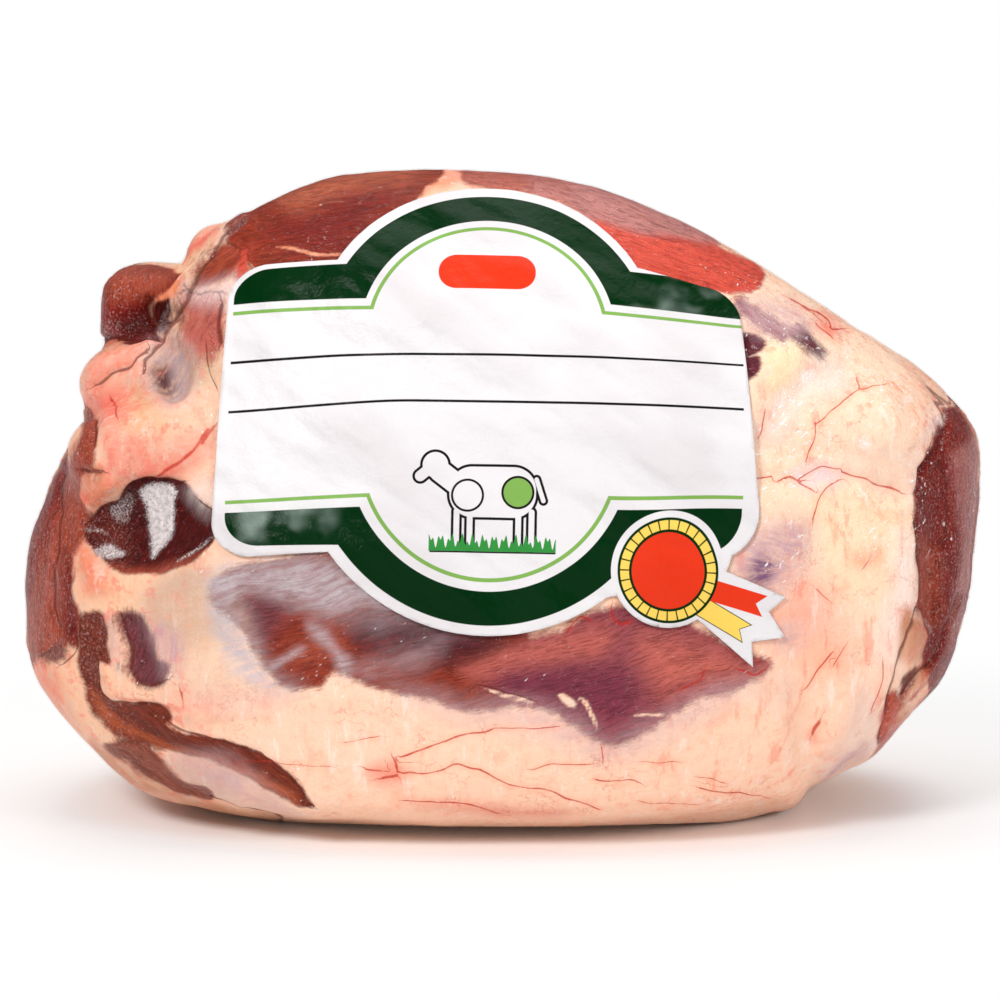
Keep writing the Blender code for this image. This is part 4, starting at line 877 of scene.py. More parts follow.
@dataclass
class Meat:
    """The leg's flesh: a fine skin grown from the part's solid, sculpted and coloured from the drawings."""

    voxel: float = 1.55
    ease_rounds: int = 8
    clearance: float = 0.35
    tuck: float = 2.4
    skin: Skin = field(init=False)

    def grow(self, leg: bpy.types.Object) -> None:
        """Grow a fine even skin over the part's solid, with the front finer still."""
        shape = bmesh.new()
        shape.from_mesh(leg.data)
        bmesh.ops.remove_doubles(shape, verts=shape.verts, dist=1e-6)
        mesh = bpy.data.meshes.new("leg_copy")
        shape.to_mesh(mesh)
        shape.free()
        obj = temporary(mesh)
        remesh = obj.modifiers.new("even", "REMESH")
        remesh.mode = "VOXEL"
        remesh.voxel_size = self.voxel * 1.0 * MM
        coarse = evaluated(obj)
        shape = bmesh.new()
        shape.from_mesh(coarse)
        shape.normal_update()
        inward = Drawing().axes()[0]
        front = [f for f in shape.faces if -(f.normal @ Vector(inward)) > 0.12]
        edges = list({edge for face in front for edge in face.edges})
        bmesh.ops.subdivide_edges(shape, edges=edges, cuts=1, use_grid_fill=True)
        bmesh.ops.triangulate(shape, faces=shape.faces)
        shape.to_mesh(coarse)
        shape.free()
        obj = temporary(coarse)
        smooth = obj.modifiers.new("ease", "SMOOTH")
        smooth.factor = 0.5
        smooth.iterations = self.ease_rounds
        self.skin = Skin(evaluated(obj))
        log.info("skin: %d vertices", len(self.skin.points))

    def shape(self, chart: Chart, under_label: np.ndarray) -> None:
        """Sculpt the patches, folds and cuts, keeping the place under the label low."""
        skin = self.skin
        height = 0.55 * wander(skin.points, 17.0, 1.3)[:, 0] + 0.22 * wander(skin.points, 6.0, 5.9)[:, 1]
        for patch in (*PATCHES, *OTHER_PATCHES):
            if patch.rise:
                height += patch.rise * ease(-0.8, 2.6, chart.depth(patch))
        height += chart.relief((*FOLDS, *OTHER_FOLDS)) + chart.relief((*CUTS, *OTHER_CUTS))
        height = np.clip(height, -3.0, 1.6)
        low = np.minimum(height, 0.0) * 0.4 - 0.45
        height = height * (1 - under_label) + low * under_label
        grounded = ease(0.2, 3.0, skin.points[:, 2])
        skin.push(height * grounded)
        points = skin.points.copy()
        points[:, 2] += self.tuck * ease(-22.0, -40.0, points[:, 1]) * ease(12.0, 1.0, points[:, 2])
        points[:, 2] = np.maximum(points[:, 2], self.clearance)
        skin.place(points)

    def colour(self, chart: Chart) -> None:
        """Work out every vertex's tissues and colours, and store them for the shader."""
        skin = self.skin
        count = len(skin.points)
        fat = np.tile(linear("fat_back"), (count, 1))
        muscle = np.full(count, -4.0)
        flesh = np.tile(linear("brown_red"), (count, 1)) * 1e-6
        weight = np.full(count, 1e-6)
        owner = np.full(count, FAR)
        angle = np.zeros(count)
        cover = np.zeros((count, 4))
        cover[:, :3] = linear("silver_blue")
        patches = (*PATCHES, *OTHER_PATCHES)
        for patch in patches:
            tone = np.array(linear(patch.colour))
            depth = chart.depth(patch)
            share = (patch.amount * ease(-patch.soft, patch.soft, depth))[:, None]
            if patch.tissue is Tissue.FAT:
                fat += (tone - fat) * share
            if patch.tissue is Tissue.FAT and patch.over:
                muscle = np.minimum(muscle, -depth / patch.soft)
            if patch.tissue is Tissue.SKIN:
                cover[:, :3] += (tone - cover[:, :3]) * ease(0.0, 0.6, share)
                cover[:, 3:] += (1.0 - cover[:, 3:]) * share
            if patch.tissue is Tissue.MUSCLE and not patch.tone:
                ramp = np.clip(depth / patch.soft, -4.0, 4.0)
                muscle = np.maximum(muscle, np.minimum(ramp, 2.2 * patch.amount - 1.2))
                pull = np.exp(np.clip(depth, -20.0, 3.0) / 0.8)
                flesh += tone * pull[:, None]
                weight += pull
                mine = depth > owner
                owner[mine] = depth[mine]
                angle[mine] = math.radians(patch.grain)
        flesh /= weight[:, None]
        for patch in patches:
            if patch.tissue is Tissue.MUSCLE and patch.tone:
                depth = chart.depth(patch)
                flesh += (np.array(linear(patch.colour)) - flesh) * (patch.amount * ease(-patch.soft, patch.soft, depth))[:, None]
        self._store(chart, fat, flesh, muscle, cover, angle)

    def _store(self, chart: Chart, fat: np.ndarray, flesh: np.ndarray, muscle: np.ndarray, cover: np.ndarray, angle: np.ndarray) -> None:
        """Put the fields on the mesh."""
        skin = self.skin
        opaque = np.ones((len(fat), 1))
        skin.keep("fat_colour", np.hstack([fat, opaque]))
        skin.keep("flesh_colour", np.hstack([flesh, opaque]))
        skin.keep("cover", cover)
        skin.keep("muscle", muscle)
        skin.keep("vein", chart.nearest((*VEINS, *OTHER_VEINS)))
        skin.keep("cleft", chart.nearest((*CUTS, *OTHER_CUTS)))
        u, v = chart.spots[Side.FRONT].T
        along = u * np.cos(angle) + v * np.sin(angle)
        across = v * np.cos(angle) - u * np.sin(angle)
        skin.keep("fibre", np.stack([along, across, skin.points[:, 1]], axis=1))


@dataclass(frozen=True)
class FleshFinish:
    """The meat's surface: cream fat, fibred muscle, silverskin, veins, and clefts whose dark colour is partly painted
    shade.
    """

    fibre_fine: float = 2.3
    fibre_long: float = 0.3
    vein_tone: str = "blood"
    cleft_and_shade_tone: str = "cleft"

    def material(self) -> bpy.types.Material:
        """Build the surface."""
        s = Shader("raw_meat")
        place = s.scaled(s.position(), (1000.0, 1000.0, 1000.0))
        broad, mid, fine = s.noise(place, 0.07, 1.0), s.noise(place, 0.35, 3.0, 0.6), s.noise(place, 1.6, 2.0, 0.6)
        fibre = s.read("fibre", "Vector")
        strand = s.noise(s.scaled(fibre, (self.fibre_long, self.fibre_fine, 0.5)), 1.0, 3.0, 0.65)
        bundle = s.noise(s.scaled(fibre, (0.035, 0.42, 0.2)), 1.0, 2.0, 0.6)
        fleck = s.noise(s.scaled(fibre, (0.22, 2.4, 1.0)), 1.0, 3.0, 0.7)
        edge = 0.3 + (mid - 0.5) * 1.3 + (fine - 0.5) * 0.6 + (strand - 0.5) * 1.3
        muscle = (s.read("muscle") + edge).step(-0.75, 0.6)
        fat = s.blend("MULTIPLY", (mid - 0.44).step(0.0, 0.2) * 0.6, s.read("fat_colour", "Color"), (0.98, 0.91, 0.88))
        blush = (s.noise(place, 0.13, 4.0, 0.65) - 0.55).step(0.0, 0.12)
        fat = s.blend("MULTIPLY", blush * 0.5, fat, (1.0, 0.74, 0.68))
        web = abs(s.noise(place, 0.11, 5.0, 0.6) - 0.5).step(0.012, 0.003) * (broad - 0.5).step(0.0, 0.1)
        fat = s.mix(web * 0.3, fat, linear("blood"))
        fat = s.mix((fine - 0.6).step(0.0, 0.25) * 0.25, fat, (1.0, 0.90, 0.80))
        px, pz = (s.node("ShaderNodeSeparateXYZ", {}, {0: place}, k) for k in (0, 2))
        drawn = s.noise(s.scaled(place, (0.3, 0.3, 0.07)), 1.0, 4.0, 0.7)
        fat = s.blend("MULTIPLY", (drawn - 0.54).step(0.0, 0.14) * (0.35 + px.step(10.0, 50.0) * 0.45), fat, (0.95, 0.62, 0.58))
        fat = s.mix((0.44 - drawn).step(0.0, 0.12) * 0.4, fat, (1.0, 0.86, 0.78))
        ragged = px.step(-58.0, -76.0).most(px.step(92.0, 100.0))
        mottle = s.noise(place, 0.24, 4.0, 0.72)
        fat = s.blend("MULTIPLY", ragged, fat, (0.94, 0.85, 0.82))
        fat = s.mix((mottle - 0.53).step(0.0, 0.1) * ragged * 0.5, fat, linear("blood_pink"))
        fat = s.mix((0.46 - mottle).step(0.0, 0.1) * ragged * 0.45, fat, linear("cream_grey"))
        flesh = s.read("flesh_colour", "Color")
        flesh = s.blend("MULTIPLY", (0.54 - strand).step(0.0, 0.18) * 0.6, flesh, (0.45, 0.28, 0.28))
        flesh = s.blend("MULTIPLY", (0.5 - bundle).step(0.0, 0.2) * 0.45, flesh, (0.5, 0.36, 0.4))
        flesh = s.blend("SCREEN", (strand - 0.52).step(0.0, 0.16) * 0.35, flesh, (0.22, 0.012, 0.005))
        flesh = s.mix((fleck - 0.66).step(0.0, 0.08) * 0.4, flesh, (0.66, 0.33, 0.26))
        ends = abs(px).step(80.0, 92.0)
        frost = (s.noise(place, 1.7, 3.0, 0.7) - 0.55).step(0.0, 0.08) * ends
        flesh = s.mix(frost * 0.4, flesh, (0.62, 0.36, 0.34))
        tissue = s.mix(muscle, fat, flesh)
        cover = s.read("cover", "Alpha")
        streak = s.noise(s.scaled(fibre, (0.12, 0.7, 0.5)), 1.0, 4.0, 0.7)
        veil = cover * (0.6 + (streak - 0.34).step(0.0, 0.3) * 0.5 + (mid - 0.5) * 0.6)
        tissue = s.mix(veil.most(0.0).least(1.0), tissue, s.read("cover", "Color"))
        # Clefts: the dark red of the cuts, with painted shade of the crevices in it.
        tissue = s.mix(self._line(s, "cleft", mid, 0.55) * 0.7, tissue, linear(self.cleft_and_shade_tone))
        vein = self._line(s, "vein", mid, 0.5)
        tissue = s.mix(vein * (0.45 + mid * 0.6), tissue, linear(self.vein_tone))
        halo = s.node("ShaderNodeSeparateXYZ", {}, {0: s.read("vein", "Vector")}, 1)
        tissue = s.blend("MULTIPLY", (1.8 - halo).step(0.0, 1.8) * 0.22, tissue, (1.0, 0.55, 0.45))
        height = mid * 0.5 + fine * 0.22 + muscle * strand * 0.5
        bump = s.bump(height, 0.0011, 0.85)
        body = s.node("ShaderNodeBsdfPrincipled", {}, {
            "Base Color": tissue, "Roughness": 0.42, "Normal": bump,
            "Specular IOR Level": 0.1,
        })
        return s.finish(body)

    @staticmethod
    def _line(s: Shader, name: str, jitter: Signal, share: float) -> Signal:
        """1 on the lines of an attribute, fading over their half width."""
        vector = s.read(name, "Vector")
        parts = [s.node("ShaderNodeSeparateXYZ", {}, {0: vector}, k) for k in range(3)]
        width = parts[2] * (0.4 + jitter * 1.2) * share
        return (abs(parts[0]) / width.most(0.01)).step(1.6, 0.5) * (3.0 - parts[1]).step(0.0, 1.0)


@dataclass
class Bag:
    """The clear vacuum bag: a film shrunk over the meat, bridging its hollows and crinkled at its folds."""

    gap: float = 0.3
    bridge_rounds: int = 26
    skin: Skin = field(init=False)

    def shrink(self, meat: Meat, chart: Chart, under_label: np.ndarray) -> None:
        """Lay the film over the meat."""
        flesh = meat.skin
        self.skin = Skin(flesh.mesh.copy())
        for name in ("fat_colour", "flesh_colour", "cover", "muscle", "vein", "cleft", "fibre"):
            self.skin.mesh.attributes.remove(self.skin.mesh.attributes[name])
        eased = flesh.smoothed(flesh.points, self.bridge_rounds)
        lift = np.einsum("ij,ij->i", eased - flesh.points, flesh.normals)
        crinkle = 0.09 * wander(flesh.points, 3.0, 2.2)[:, 0] * (1 - under_label)
        points = flesh.points + flesh.normals * (self.gap + np.clip(lift, 0.0, 2.2) + crinkle * 1.0)[:, None]
        points[:, 2] = np.maximum(points[:, 2], 0.0)
        self.skin.place(points)
        # Painted glare: how deep each vertex lies in the painted glare patches.
        painted_glare = np.full(len(points), -4.0)
        for glare_spot in PAINTED_GLARES:
            depth = depth_in(chart.spots[Side.FRONT], glare_spot.outline) - Chart.fade * (1.0 - chart.turned[Side.FRONT])
            painted_glare = np.maximum(painted_glare, np.minimum(np.clip(depth / glare_spot.soft, -4.0, 1.2), 2.4 * glare_spot.amount - 1.2))
        self.skin.keep("painted_glare", painted_glare)


@dataclass(frozen=True)
class FilmFinish:
    """Clear glossy film, with painted milky glare where it stands off the meat and painted white glint strokes on the
    upper right.
    """

    ior: float = 1.42
    roughness: float = 0.1

    def material(self) -> bpy.types.Material:
        """Build the surface."""
        s = Shader("clear_film")
        place = s.scaled(s.position(), (1000.0, 1000.0, 1000.0))
        crinkle, broad = s.noise(place, 0.9, 3.0, 0.6), s.noise(place, 0.16, 3.0, 0.55)
        normal = s.bump(crinkle * 0.5 + broad, 0.0012, 0.8)
        shine = s.node("ShaderNodeFresnel", {}, {"IOR": self.ior, "Normal": normal})
        clear = s.node("ShaderNodeBsdfTransparent", {}, {})
        gloss = s.node("ShaderNodeBsdfGlossy", {}, {"Roughness": self.roughness, "Normal": normal})
        pucker = s.noise(place, 1.1, 4.0, 0.7)
        wet = 0.12 + (pucker - 0.58).step(0.0, 0.1) * 2.4
        film = s.node("ShaderNodeMixShader", {}, {0: (shine * wet).least(0.6), 1: clear, 2: gloss})
        # Painted glare: a milky white layer over the glare patches, broken by fine specks.
        speck = s.noise(place, 2.2, 4.0, 0.75)
        painted_glare = (s.read("painted_glare") + (speck - 0.5) * 3.6).step(-0.2, 1.4)
        # Painted glints: short slanted white strokes, most of them on the upper right fat.
        slanted = s.node("ShaderNodeMapping", {}, {"Vector": place, "Rotation": (0.0, 0.7, 0.0)})
        glint_stroke_noise = s.noise(s.scaled(slanted, (0.35, 0.7, 1.3)), 1.0, 3.0, 0.6)
        px, pz = (s.node("ShaderNodeSeparateXYZ", {}, {0: place}, k) for k in (0, 2))
        glint_strokes_region = px.step(42.0, 62.0) * pz.step(50.0, 75.0)
        painted_glint_strokes = (glint_stroke_noise - 0.70 + glint_strokes_region * 0.08).step(0.0, 0.03) * (s.noise(place, 0.06, 3.0, 0.6) - 0.5).step(-0.04, 0.05)
        painted_glare_layer = s.node("ShaderNodeBsdfPrincipled", {}, {"Base Color": (0.93, 0.86, 0.85, 1.0), "Roughness": 0.25, "Normal": normal})
        return s.finish(s.node("ShaderNodeMixShader", {}, {0: (painted_glare * (0.25 + crinkle * 0.95)).most(painted_glint_strokes * 0.85), 1: film, 2: painted_glare_layer}))


@dataclass
class Label:
    """The die-cut label: a thin sheet draped on the block's front. Its plane leans back with the front."""

    centre: tuple[float, float, float] = (-4.09, -52.56, 105.6)
    lean: float = math.radians(20.0)
    turn: float = math.radians(-1.1)
    half_width: float = 61.6
    half_height: float = 35.4
    corner: float = 9.0
    upper: tuple[float, float, float] = (0.2, 15.2, 40.2)
    lower: tuple[float, float, float] = (1.6, -7.4, 45.2)
    seal: tuple[float, float, float] = (42.4, -37.0, 12.8)
    tails: Points = (
        (51.6, -49.2), (62.6, -57.6), (62.2, -52.0), (69.0, -50.8), (69.6, -50.2), (66.0, -45.2), (69.8, -41.8), (56.0, -36.8),
    )
    thickness: float = 0.28
    lift: float = 0.42
    pitch: float = 1.1

    def plane(self) -> Matrix:
        """The label's plane in the block's frame."""
        return (
            Matrix.Translation(self.centre)
            @ Matrix.Rotation(math.pi / 2 - self.lean, 4, "X")
            @ Matrix.Rotation(self.turn, 4, "Z")
        )

    def flat(self, points: np.ndarray) -> np.ndarray:
        """Points of the block in the label's plane, with their height off it."""
        back = np.array(self.plane().inverted())
        return points @ back[:3, :3].T + back[:3, 3]

    def outline(self) -> np.ndarray:
        """The die-cut edge, counterclockwise."""
        rows: list[tuple[float, float]] = []

        def arc(x: float, y: float, radius: float, start: float, end: float) -> None:
            """Add an arc's points."""
            steps = max(3, math.ceil(abs(end - start) / math.radians(4.0)))
            rows.extend((x + radius * math.cos(a), y + radius * math.sin(a)) for a in np.linspace(start, end, steps))

        quarter = math.pi / 2
        w, h, c = self.half_width, self.half_height, self.corner
        x, y, r = self.lower
        dip = math.asin((h - 1.0 + y) / r)
        arc(x, y, r, math.pi + dip, math.radians(307.0))
        arc(*self.seal, math.radians(208.0), math.radians(304.0))
        rows.extend(self.tails)
        arc(w - c + 1.6, c - h + 1.8, c, -0.78 * quarter, 0.0)
        arc(w - c - 2.6, h - c - 2.6, c, 0.0, quarter)
        x, y, r = self.upper
        dip = math.asin((h - y) / r)
        arc(x, y, r, dip, math.pi - dip)
        arc(c - w + 1.6, h - c, c, quarter, 2 * quarter)
        arc(c - w, c - h, c, 2 * quarter, 3 * quarter)
        return np.array(rows)

    def covers(self, points: np.ndarray, normals: np.ndarray) -> np.ndarray:
        """How far each point of the block is under the label, from 0 to 1."""
        flat = self.flat(points)
        edge = self.outline()
        depth = np.full(len(points), FAR)
        near = (np.abs(flat[:, :2]) < 75.0).all(1) & (normals @ np.array(self.plane())[:3, 2] > 0.0)
        gap, _ = nearest_on_path(flat[near, :2], edge, closed=True)
        depth[near] = np.where(inside_path(flat[near, :2], edge), gap, -gap)
        return ease(-1.5, 1.5, depth)

    def sheet(self, leg: bpy.types.Object) -> bpy.types.Mesh:
        """Cut a fine flat sheet to the outline and drape it on the leg."""
        mesh = self._cut()
        skin = Skin(mesh)
        flat = skin.points.copy()
        shape = bmesh.new()
        shape.from_mesh(leg.data)
        tree = BVHTree.FromBMesh(shape)
        plane = self.plane()
        outward = (plane.to_3x3() @ Vector((0, 0, 1))).normalized()
        fall = np.zeros(len(flat))
        drops = self.slip(flat)
        for k, (x, y, _) in enumerate(flat):
            start = (plane @ Vector((x, y - drops[k], 60.0))) * MM
            hit = tree.ray_cast(start, -outward)
            fall[k] = 60.0 - hit[3] / MM if hit[0] is not None else -25.0
        shape.free()
        fall = skin.smoothed(fall, 14)
        top = flat[:, 2] > 0
        ripple = wander(np.stack([flat[:, 0], flat[:, 1], flat[:, 0] * 0], axis=1), 14.0, 4.4)[:, 0]
        creases = wander(np.stack([flat[:, 0] * 0.5, flat[:, 1] * 1.4, flat[:, 0] * 0], axis=1), 6.0, 8.8)[:, 1]
        height = fall + self.lift + 0.34 * ripple + 0.16 * creases + np.where(top, self.thickness, 0.0)
        place = np.array(plane)
        points = np.stack([flat[:, 0], flat[:, 1] - self.slip(flat), height], axis=1) @ place[:3, :3].T + place[:3, 3]
        skin.place(points)
        self._unwrap(mesh, flat)
        return mesh

    @staticmethod
    def slip(flat: np.ndarray) -> np.ndarray:
        """How far the sheet has slipped down the meat at its left and right edges, in millimetres."""
        x, y = flat[:, 0], flat[:, 1]
        left = 2.1 * ease(-15.0, -60.0, x) * np.maximum(1 - ((y + 8) / 26) ** 2, 0)
        left += 0.9 * ease(-15.0, -60.0, x) * ease(24.0, 34.0, y)
        right = 2.3 * ease(14.0, 62.0, x) * ease(6.0, 30.0, y)
        right -= 1.3 * ease(30.0, 60.0, x) * np.maximum(1 - ((y + 24) / 9) ** 2, 0)
        return left + right

    def _cut(self) -> bpy.types.Mesh:
        """A slab of small squares, cut to the outline."""
        reach = 74.0
        steps = int(2 * reach / (self.pitch * 1.0))
        slab = bmesh.new()
        bmesh.ops.create_grid(slab, x_segments=steps, y_segments=steps, size=reach * MM)
        faces = bmesh.ops.extrude_face_region(slab, geom=slab.faces[:])["geom"]
        bmesh.ops.translate(slab, verts=[v for v in faces if isinstance(v, bmesh.types.BMVert)], vec=(0, 0, 0.4 * MM))
        bmesh.ops.translate(slab, verts=slab.verts, vec=(0, 0, -0.2 * MM))
        bmesh.ops.recalc_face_normals(slab, faces=slab.faces)
        cutter = bmesh.new()
        ring = [cutter.verts.new((x * MM, y * MM, -2 * MM)) for x, y in self.outline()]
        base = cutter.faces.new(ring)
        raised = bmesh.ops.extrude_face_region(cutter, geom=[base])["geom"]
        bmesh.ops.translate(cutter, verts=[v for v in raised if isinstance(v, bmesh.types.BMVert)], vec=(0, 0, 4 * MM))
        bmesh.ops.recalc_face_normals(cutter, faces=cutter.faces)
        made = []
        for shape in (slab, cutter):
            mesh = bpy.data.meshes.new("label_blank")
            shape.to_mesh(mesh)
            shape.free()
            made.append(temporary(mesh))
        trim = made[0].modifiers.new("trim", "BOOLEAN")
        trim.operation = "INTERSECT"
        trim.object = made[1]
        mesh = evaluated(made[0])
        bpy.data.objects.remove(made[1])
        return mesh

    @staticmethod
    def _unwrap(mesh: bpy.types.Mesh, flat: np.ndarray) -> None:
        """Give the sheet its flat places as a map, 200 mm to the whole."""
        layer = mesh.uv_layers.new(name="print")
        corners = np.empty(len(mesh.loops), dtype=np.int32)
        mesh.loops.foreach_get("vertex_index", corners)
        layer.data.foreach_set("uv", (flat[corners, :2] / 200.0 + 0.5).astype(np.float32).ravel())


@dataclass(frozen=True)
class LabelPrint:
    """The label's print: green bands that follow its edge, fine rules, a ram's outline and an award ribbon, with
    painted wrinkle shade and painted glare over it.
    """

    gloss: float = 0.3

    def material(self) -> bpy.types.Material:
        """Build the surface."""
        s = Shader("label_print")
        where = s.node("ShaderNodeUVMap", {"uv_map": "print"}, {})
        split = [s.node("ShaderNodeSeparateXYZ", {}, {0: where}, k) for k in range(2)]
        x, y = (split[0] - 0.5) * 200.0, (split[1] - 0.5) * 200.0
        colour = self._bands(s, x, y)
        colour = self._sheep(s, x, y, colour)
        colour = self._ribbon(s, x, y, colour)
        place = s.scaled(s.position(), (1000.0, 1000.0, 1000.0))
        slanted = s.node("ShaderNodeMapping", {}, {"Vector": place, "Rotation": (0.0, -0.6, 0.0)})
        soft = s.noise(s.scaled(slanted, (0.022, 0.03, 0.06)), 1.0, 2.0, 0.5)
        fine = s.noise(place, 0.3, 3.0, 0.6)
        # Painted shade: the print greyed along the slanted wrinkles, besides the bump that they also give.
        colour = s.blend("MULTIPLY", (soft - 0.44).step(0.0, 0.2) * 0.6, colour, (0.86, 0.83, 0.84))
        glare = self._box(x, y, (-54.0, -31.0), (-34.0, -24.0)).least(self._box(x, y, (31.0, 25.0), (58.0, 32.0)))
        glare = glare.step(3.0, -2.0) * (s.noise(place, 0.09, 2.0, 0.45) - 0.42).step(0.0, 0.28)
        colour = s.mix(glare * 0.55, colour, (0.50, 0.62, 0.55))
        normal = s.bump(soft + fine * 0.06, 0.008, 0.8)
        body = s.node("ShaderNodeBsdfPrincipled", {}, {
            "Base Color": colour, "Roughness": self.gloss, "Normal": normal, "Specular IOR Level": 0.06,
        })
        return s.finish(body)

    @staticmethod
    def _disc(x: Signal, y: Signal, cx: float, cy: float, r: float) -> Signal:
        """Distance from a disc's edge."""
        dx, dy = x - cx, y - cy
        return (dx * dx + dy * dy).root() - r

    @staticmethod
    def _box(x: Signal, y: Signal, low: tuple[float, float], high: tuple[float, float], r: float = 0.0) -> Signal:
        """Distance from a rounded box's edge."""
        cx, cy = (low[0] + high[0]) / 2, (low[1] + high[1]) / 2
        dx = abs(x - cx) - ((high[0] - low[0]) / 2 - r)
        dy = abs(y - cy) - ((high[1] - low[1]) / 2 - r)
        far = (dx.most(0.0) * dx.most(0.0) + dy.most(0.0) * dy.most(0.0)).root()
        return far + dx.most(dy).least(0.0) - r

    @staticmethod
    def _bar(x: Signal, y: Signal, start: tuple[float, float], end: tuple[float, float], r: float) -> Signal:
        """Distance from a round-ended bar's edge."""
        rx, ry = end[0] - start[0], end[1] - start[1]
        px, py = x - start[0], y - start[1]
        share = ((px * rx + py * ry) / (rx * rx + ry * ry)).most(0.0).least(1.0)
        dx, dy = px - share * rx, py - share * ry
        return (dx * dx + dy * dy).root() - r

    def _bands(self, s: Shader, x: Signal, y: Signal) -> Signal:
        """The white sheet with its green bands, light line and rules."""
        plaque = self._box(x, y, (-58.6, -32.8), (59.2, 34.2), 8.0)
        outer = plaque.least(self._disc(x, y, 0.4, 15.0, 38.0)).least(self._disc(x, y, 1.5, -8.8, 41.5))
        middle = self._box(x, y, (-80.0, -24.0), (80.0, 24.9))
        inner = middle.least(self._disc(x, y, 0.6, 16.6, 29.3)).least(self._disc(x, y, 1.6, -10.7, 32.1))
        line = self._box(x, y, (-80.0, -21.4), (80.0, 22.6))
        line = line.least(self._disc(x, y, 0.5, 16.4, 27.3)).least(self._disc(x, y, 1.6, -11.0, 29.3))
        edge = self._box(x, y, (-58.6, -50.0), (59.4, 50.0))
        colour = s.mix(outer.most(-inner).inside(), linear("paper"), linear("leaf_green"))
        colour = s.mix((abs(line) - 0.45).most(edge).inside(), colour, linear("line_green"))
        for level in (11.3, 0.2):
            rule = (abs(y - level) - 0.3).most(edge)
            colour = s.mix(rule.inside(), colour, linear("ink"))
        badge = self._box(x, y, (-11.0, 27.6), (11.4, 36.4), 4.2)
        return s.mix(badge.inside(), colour, linear("poppy"))

    def _sheep(self, s: Shader, x: Signal, y: Signal, colour: Signal) -> Signal:
        """A standing sheep in outline on a strip of grass, with two cuts ringed."""
        body = self._box(x, y, (-7.6, -26.6), (12.6, -14.6), 5.4)
        shape = body.least(self._disc(x, y, -10.6, -14.6, 3.2)).least(self._bar(x, y, (-11.4, -15.0), (-14.0, -17.2), 1.5))
        shape = shape.least(self._bar(x, y, (-9.6, -16.0), (-5.6, -19.0), 2.7))
        for foot in (-5.6, -2.6, 8.4, 11.4):
            shape = shape.least(self._bar(x, y, (foot, -25.0), (foot, -32.8), 0.95))
        shape = shape.least(self._bar(x, y, (12.4, -17.6), (14.0, -22.4), 0.8))
        blade = (x * 2.6).sine() * 0.9 + (x * 5.7).sine() * 0.7 - 31.6
        grass = (y - blade).most(-34.0 - y).most(self._box(x, y, (-11.8, -36.0), (17.0, -20.0)))
        colour = s.mix((shape + 0.0).inside(), colour, linear("paper"))
        colour = s.mix((abs(shape) - 0.3).inside(), colour, linear("ink"))
        colour = s.mix(grass.inside(0.15), colour, linear("grass"))
        for cx, cy, tone in ((-3.2, -21.4, "paper"), (8.2, -20.6, "line_green")):
            ring = self._disc(x, y, cx, cy, 3.5)
            colour = s.mix(ring.inside(), colour, linear(tone))
            colour = s.mix((abs(ring) - 0.26).inside(), colour, linear("ink"))
        ground = self._bar(x, y, (-11.4, -34.1), (16.8, -34.1), 0.18)
        return s.mix(ground.inside(), colour, linear("ink"))

    def _ribbon(self, s: Shader, x: Signal, y: Signal, colour: Signal) -> Signal:
        """The award: two tails, a pleated ring and a plain disc."""
        cx, cy = 42.6, -37.3
        colour = s.mix(self._disc(x, y, cx, cy, 13.0).inside(), colour, linear("paper"))
        for start, end, width, tone in (
            ((48.0, -43.5), (60.8, -50.2), 2.1, "sun_yellow"),
            ((49.0, -40.2), (64.6, -44.0), 2.2, "poppy"),
        ):
            run = Vector(end) - Vector(start)
            along = ((x - start[0]) * run.x + (y - start[1]) * run.y) / run.length
            across = abs((x - start[0]) * run.y - (y - start[1]) * run.x) / run.length
            band = (across - width).most(-along).most(along - run.length + (width - across) * 0.9)
            colour = s.mix((abs(band) - 0.2).inside(), colour, linear("ink" if tone == "sun_yellow" else tone))
            colour = s.mix(band.inside(), colour, linear(tone))
        pleat = ((y - cy).angle(x - cx) * 14.0).sine()
        ring = self._disc(x, y, cx, cy, 11.3)
        colour = s.mix(ring.inside(), colour, linear("sun_yellow"))
        colour = s.mix((abs(ring + 0.1) - 0.3).inside(), colour, linear("leaf_green"))
        colour = s.mix((0.72 - abs(pleat)).most(ring).step(0.1, -0.5) * 0.0 + (abs(pleat) - 0.22).most(ring).inside(0.15), colour, linear("leaf_green"))
        colour = s.mix(self._disc(x, y, cx, cy, 8.9).inside(), colour, linear("leaf_green"))
        return s.mix(self._disc(x, y, cx, cy, 8.3).inside(), colour, linear("poppy"))


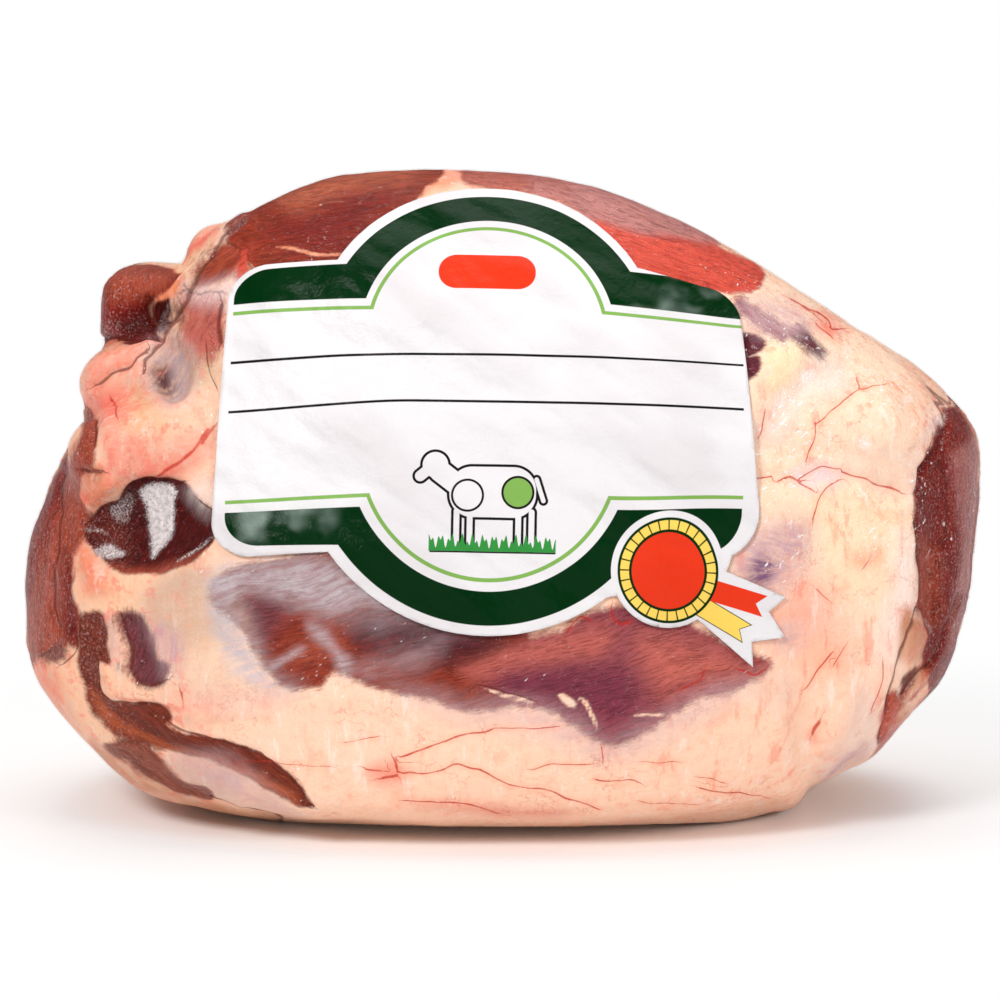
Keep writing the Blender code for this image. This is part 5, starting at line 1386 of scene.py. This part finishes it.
@dataclass(frozen=True)
class Studio:
    """A pale sweep, soft lights and the camera."""

    reach: float = 6.0

    def build(self) -> None:
        """Set the studio up."""
        self._floor()
        self._world()
        self._lamp("key", (-0.75, -1.15, 1.15), 0.45, 17.2)
        self._lamp("fill", (1.15, -0.9, 0.75), 0.4, 7.4)
        self._lamp("top", (0.05, 0.25, 1.4), 1.1, 13.0)
        self._lamp("low", (-0.1, -1.5, 0.25), 0.8, 2.4)
        self._camera()

    def _floor(self) -> None:
        """A white floor that glows white far from the object."""
        shape = bmesh.new()
        bmesh.ops.create_circle(shape, cap_ends=True, segments=64, radius=self.reach)
        mesh = bpy.data.meshes.new("floor")
        shape.to_mesh(mesh)
        shape.free()
        s = Shader("floor")
        x, y = (s.node("ShaderNodeSeparateXYZ", {}, {0: s.position()}, k) for k in range(2))
        out = ((x * x) / 0.0056 + (y * y) / 0.0018).root()
        far = out.step(1.05, 1.6) * 0.5 + out.step(1.3, 5.0) * 0.5
        matt = s.node("ShaderNodeBsdfDiffuse", {}, {"Color": (0.93, 0.92, 0.915, 1.0)})
        glow = s.node("ShaderNodeEmission", {}, {"Color": (1.0, 1.0, 1.0, 1.0), "Strength": 1.0})
        mesh.materials.append(s.finish(s.node("ShaderNodeMixShader", {}, {0: far, 1: matt, 2: glow})))
        floor = bpy.data.objects.new("floor", mesh)
        bpy.context.scene.collection.objects.link(floor)

    def _world(self) -> None:
        """Even white light all round, and plain white where the camera sees past the floor."""
        world = bpy.data.worlds.new("studio")
        world.use_nodes = True
        tree = world.node_tree
        tree.nodes.clear()
        path = tree.nodes.new("ShaderNodeLightPath")
        seen, light = (tree.nodes.new("ShaderNodeBackground") for _ in range(2))
        seen.inputs["Strength"].default_value = 1.0
        light.inputs["Strength"].default_value = 0.22
        mix, end = tree.nodes.new("ShaderNodeMixShader"), tree.nodes.new("ShaderNodeOutputWorld")
        tree.links.new(path.outputs["Is Camera Ray"], mix.inputs[0])
        tree.links.new(light.outputs[0], mix.inputs[1])
        tree.links.new(seen.outputs[0], mix.inputs[2])
        tree.links.new(mix.outputs[0], end.inputs["Surface"])
        bpy.context.scene.world = world

    @staticmethod
    def _lamp(name: str, place: tuple[float, float, float], size: float, power: float) -> None:
        """One soft square light, aimed at the object."""
        light = bpy.data.lights.new(name, "AREA")
        light.size = size
        light.energy = power
        lamp = bpy.data.objects.new(name, light)
        lamp.location = place
        lamp.rotation_euler = (Vector((0, 0, 0.07)) - Vector(place)).to_track_quat("-Z", "Y").to_euler()
        bpy.context.scene.collection.objects.link(lamp)

    @staticmethod
    def _camera() -> None:
        """The camera, square to the front and a little above it."""
        inward, _, eye = Drawing().axes()
        lens = bpy.data.cameras.new("camera")
        lens.lens = LENS_MM
        lens.sensor_width = 36.0
        lens.shift_x, lens.shift_y = LENS_SHIFT
        lens.clip_start = 0.05
        camera = bpy.data.objects.new("camera", lens)
        camera.location = eye * MM
        camera.rotation_euler = Vector(inward).to_track_quat("-Z", "Y").to_euler()
        bpy.context.scene.collection.objects.link(camera)
        bpy.context.scene.camera = camera


def main() -> None:
    """Build the pieces in order, the studio last."""
    logging.basicConfig(level=logging.INFO, format="%(message)s")
    bpy.context.scene.view_settings.view_transform = "Standard"
    leg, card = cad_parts["leg"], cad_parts["label"]
    meat, label = Meat(), Label()
    meat.grow(leg)
    chart = Chart(meat.skin)
    under_label = label.covers(meat.skin.points, meat.skin.normals)
    meat.colour(chart)
    meat.shape(chart, under_label)
    bag = Bag()
    bag.shrink(meat, chart, under_label)
    flesh = piece("meat", meat.skin.mesh, FleshFinish().material())
    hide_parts("leg")
    film = piece("film", bag.skin.mesh, FilmFinish().material())
    film.visible_shadow = film.visible_diffuse = film.visible_glossy = False
    sheet = piece("label_sheet", label.sheet(leg), LabelPrint().material())
    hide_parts("label")
    Studio().build()


if __name__ == "__main__":
    main()
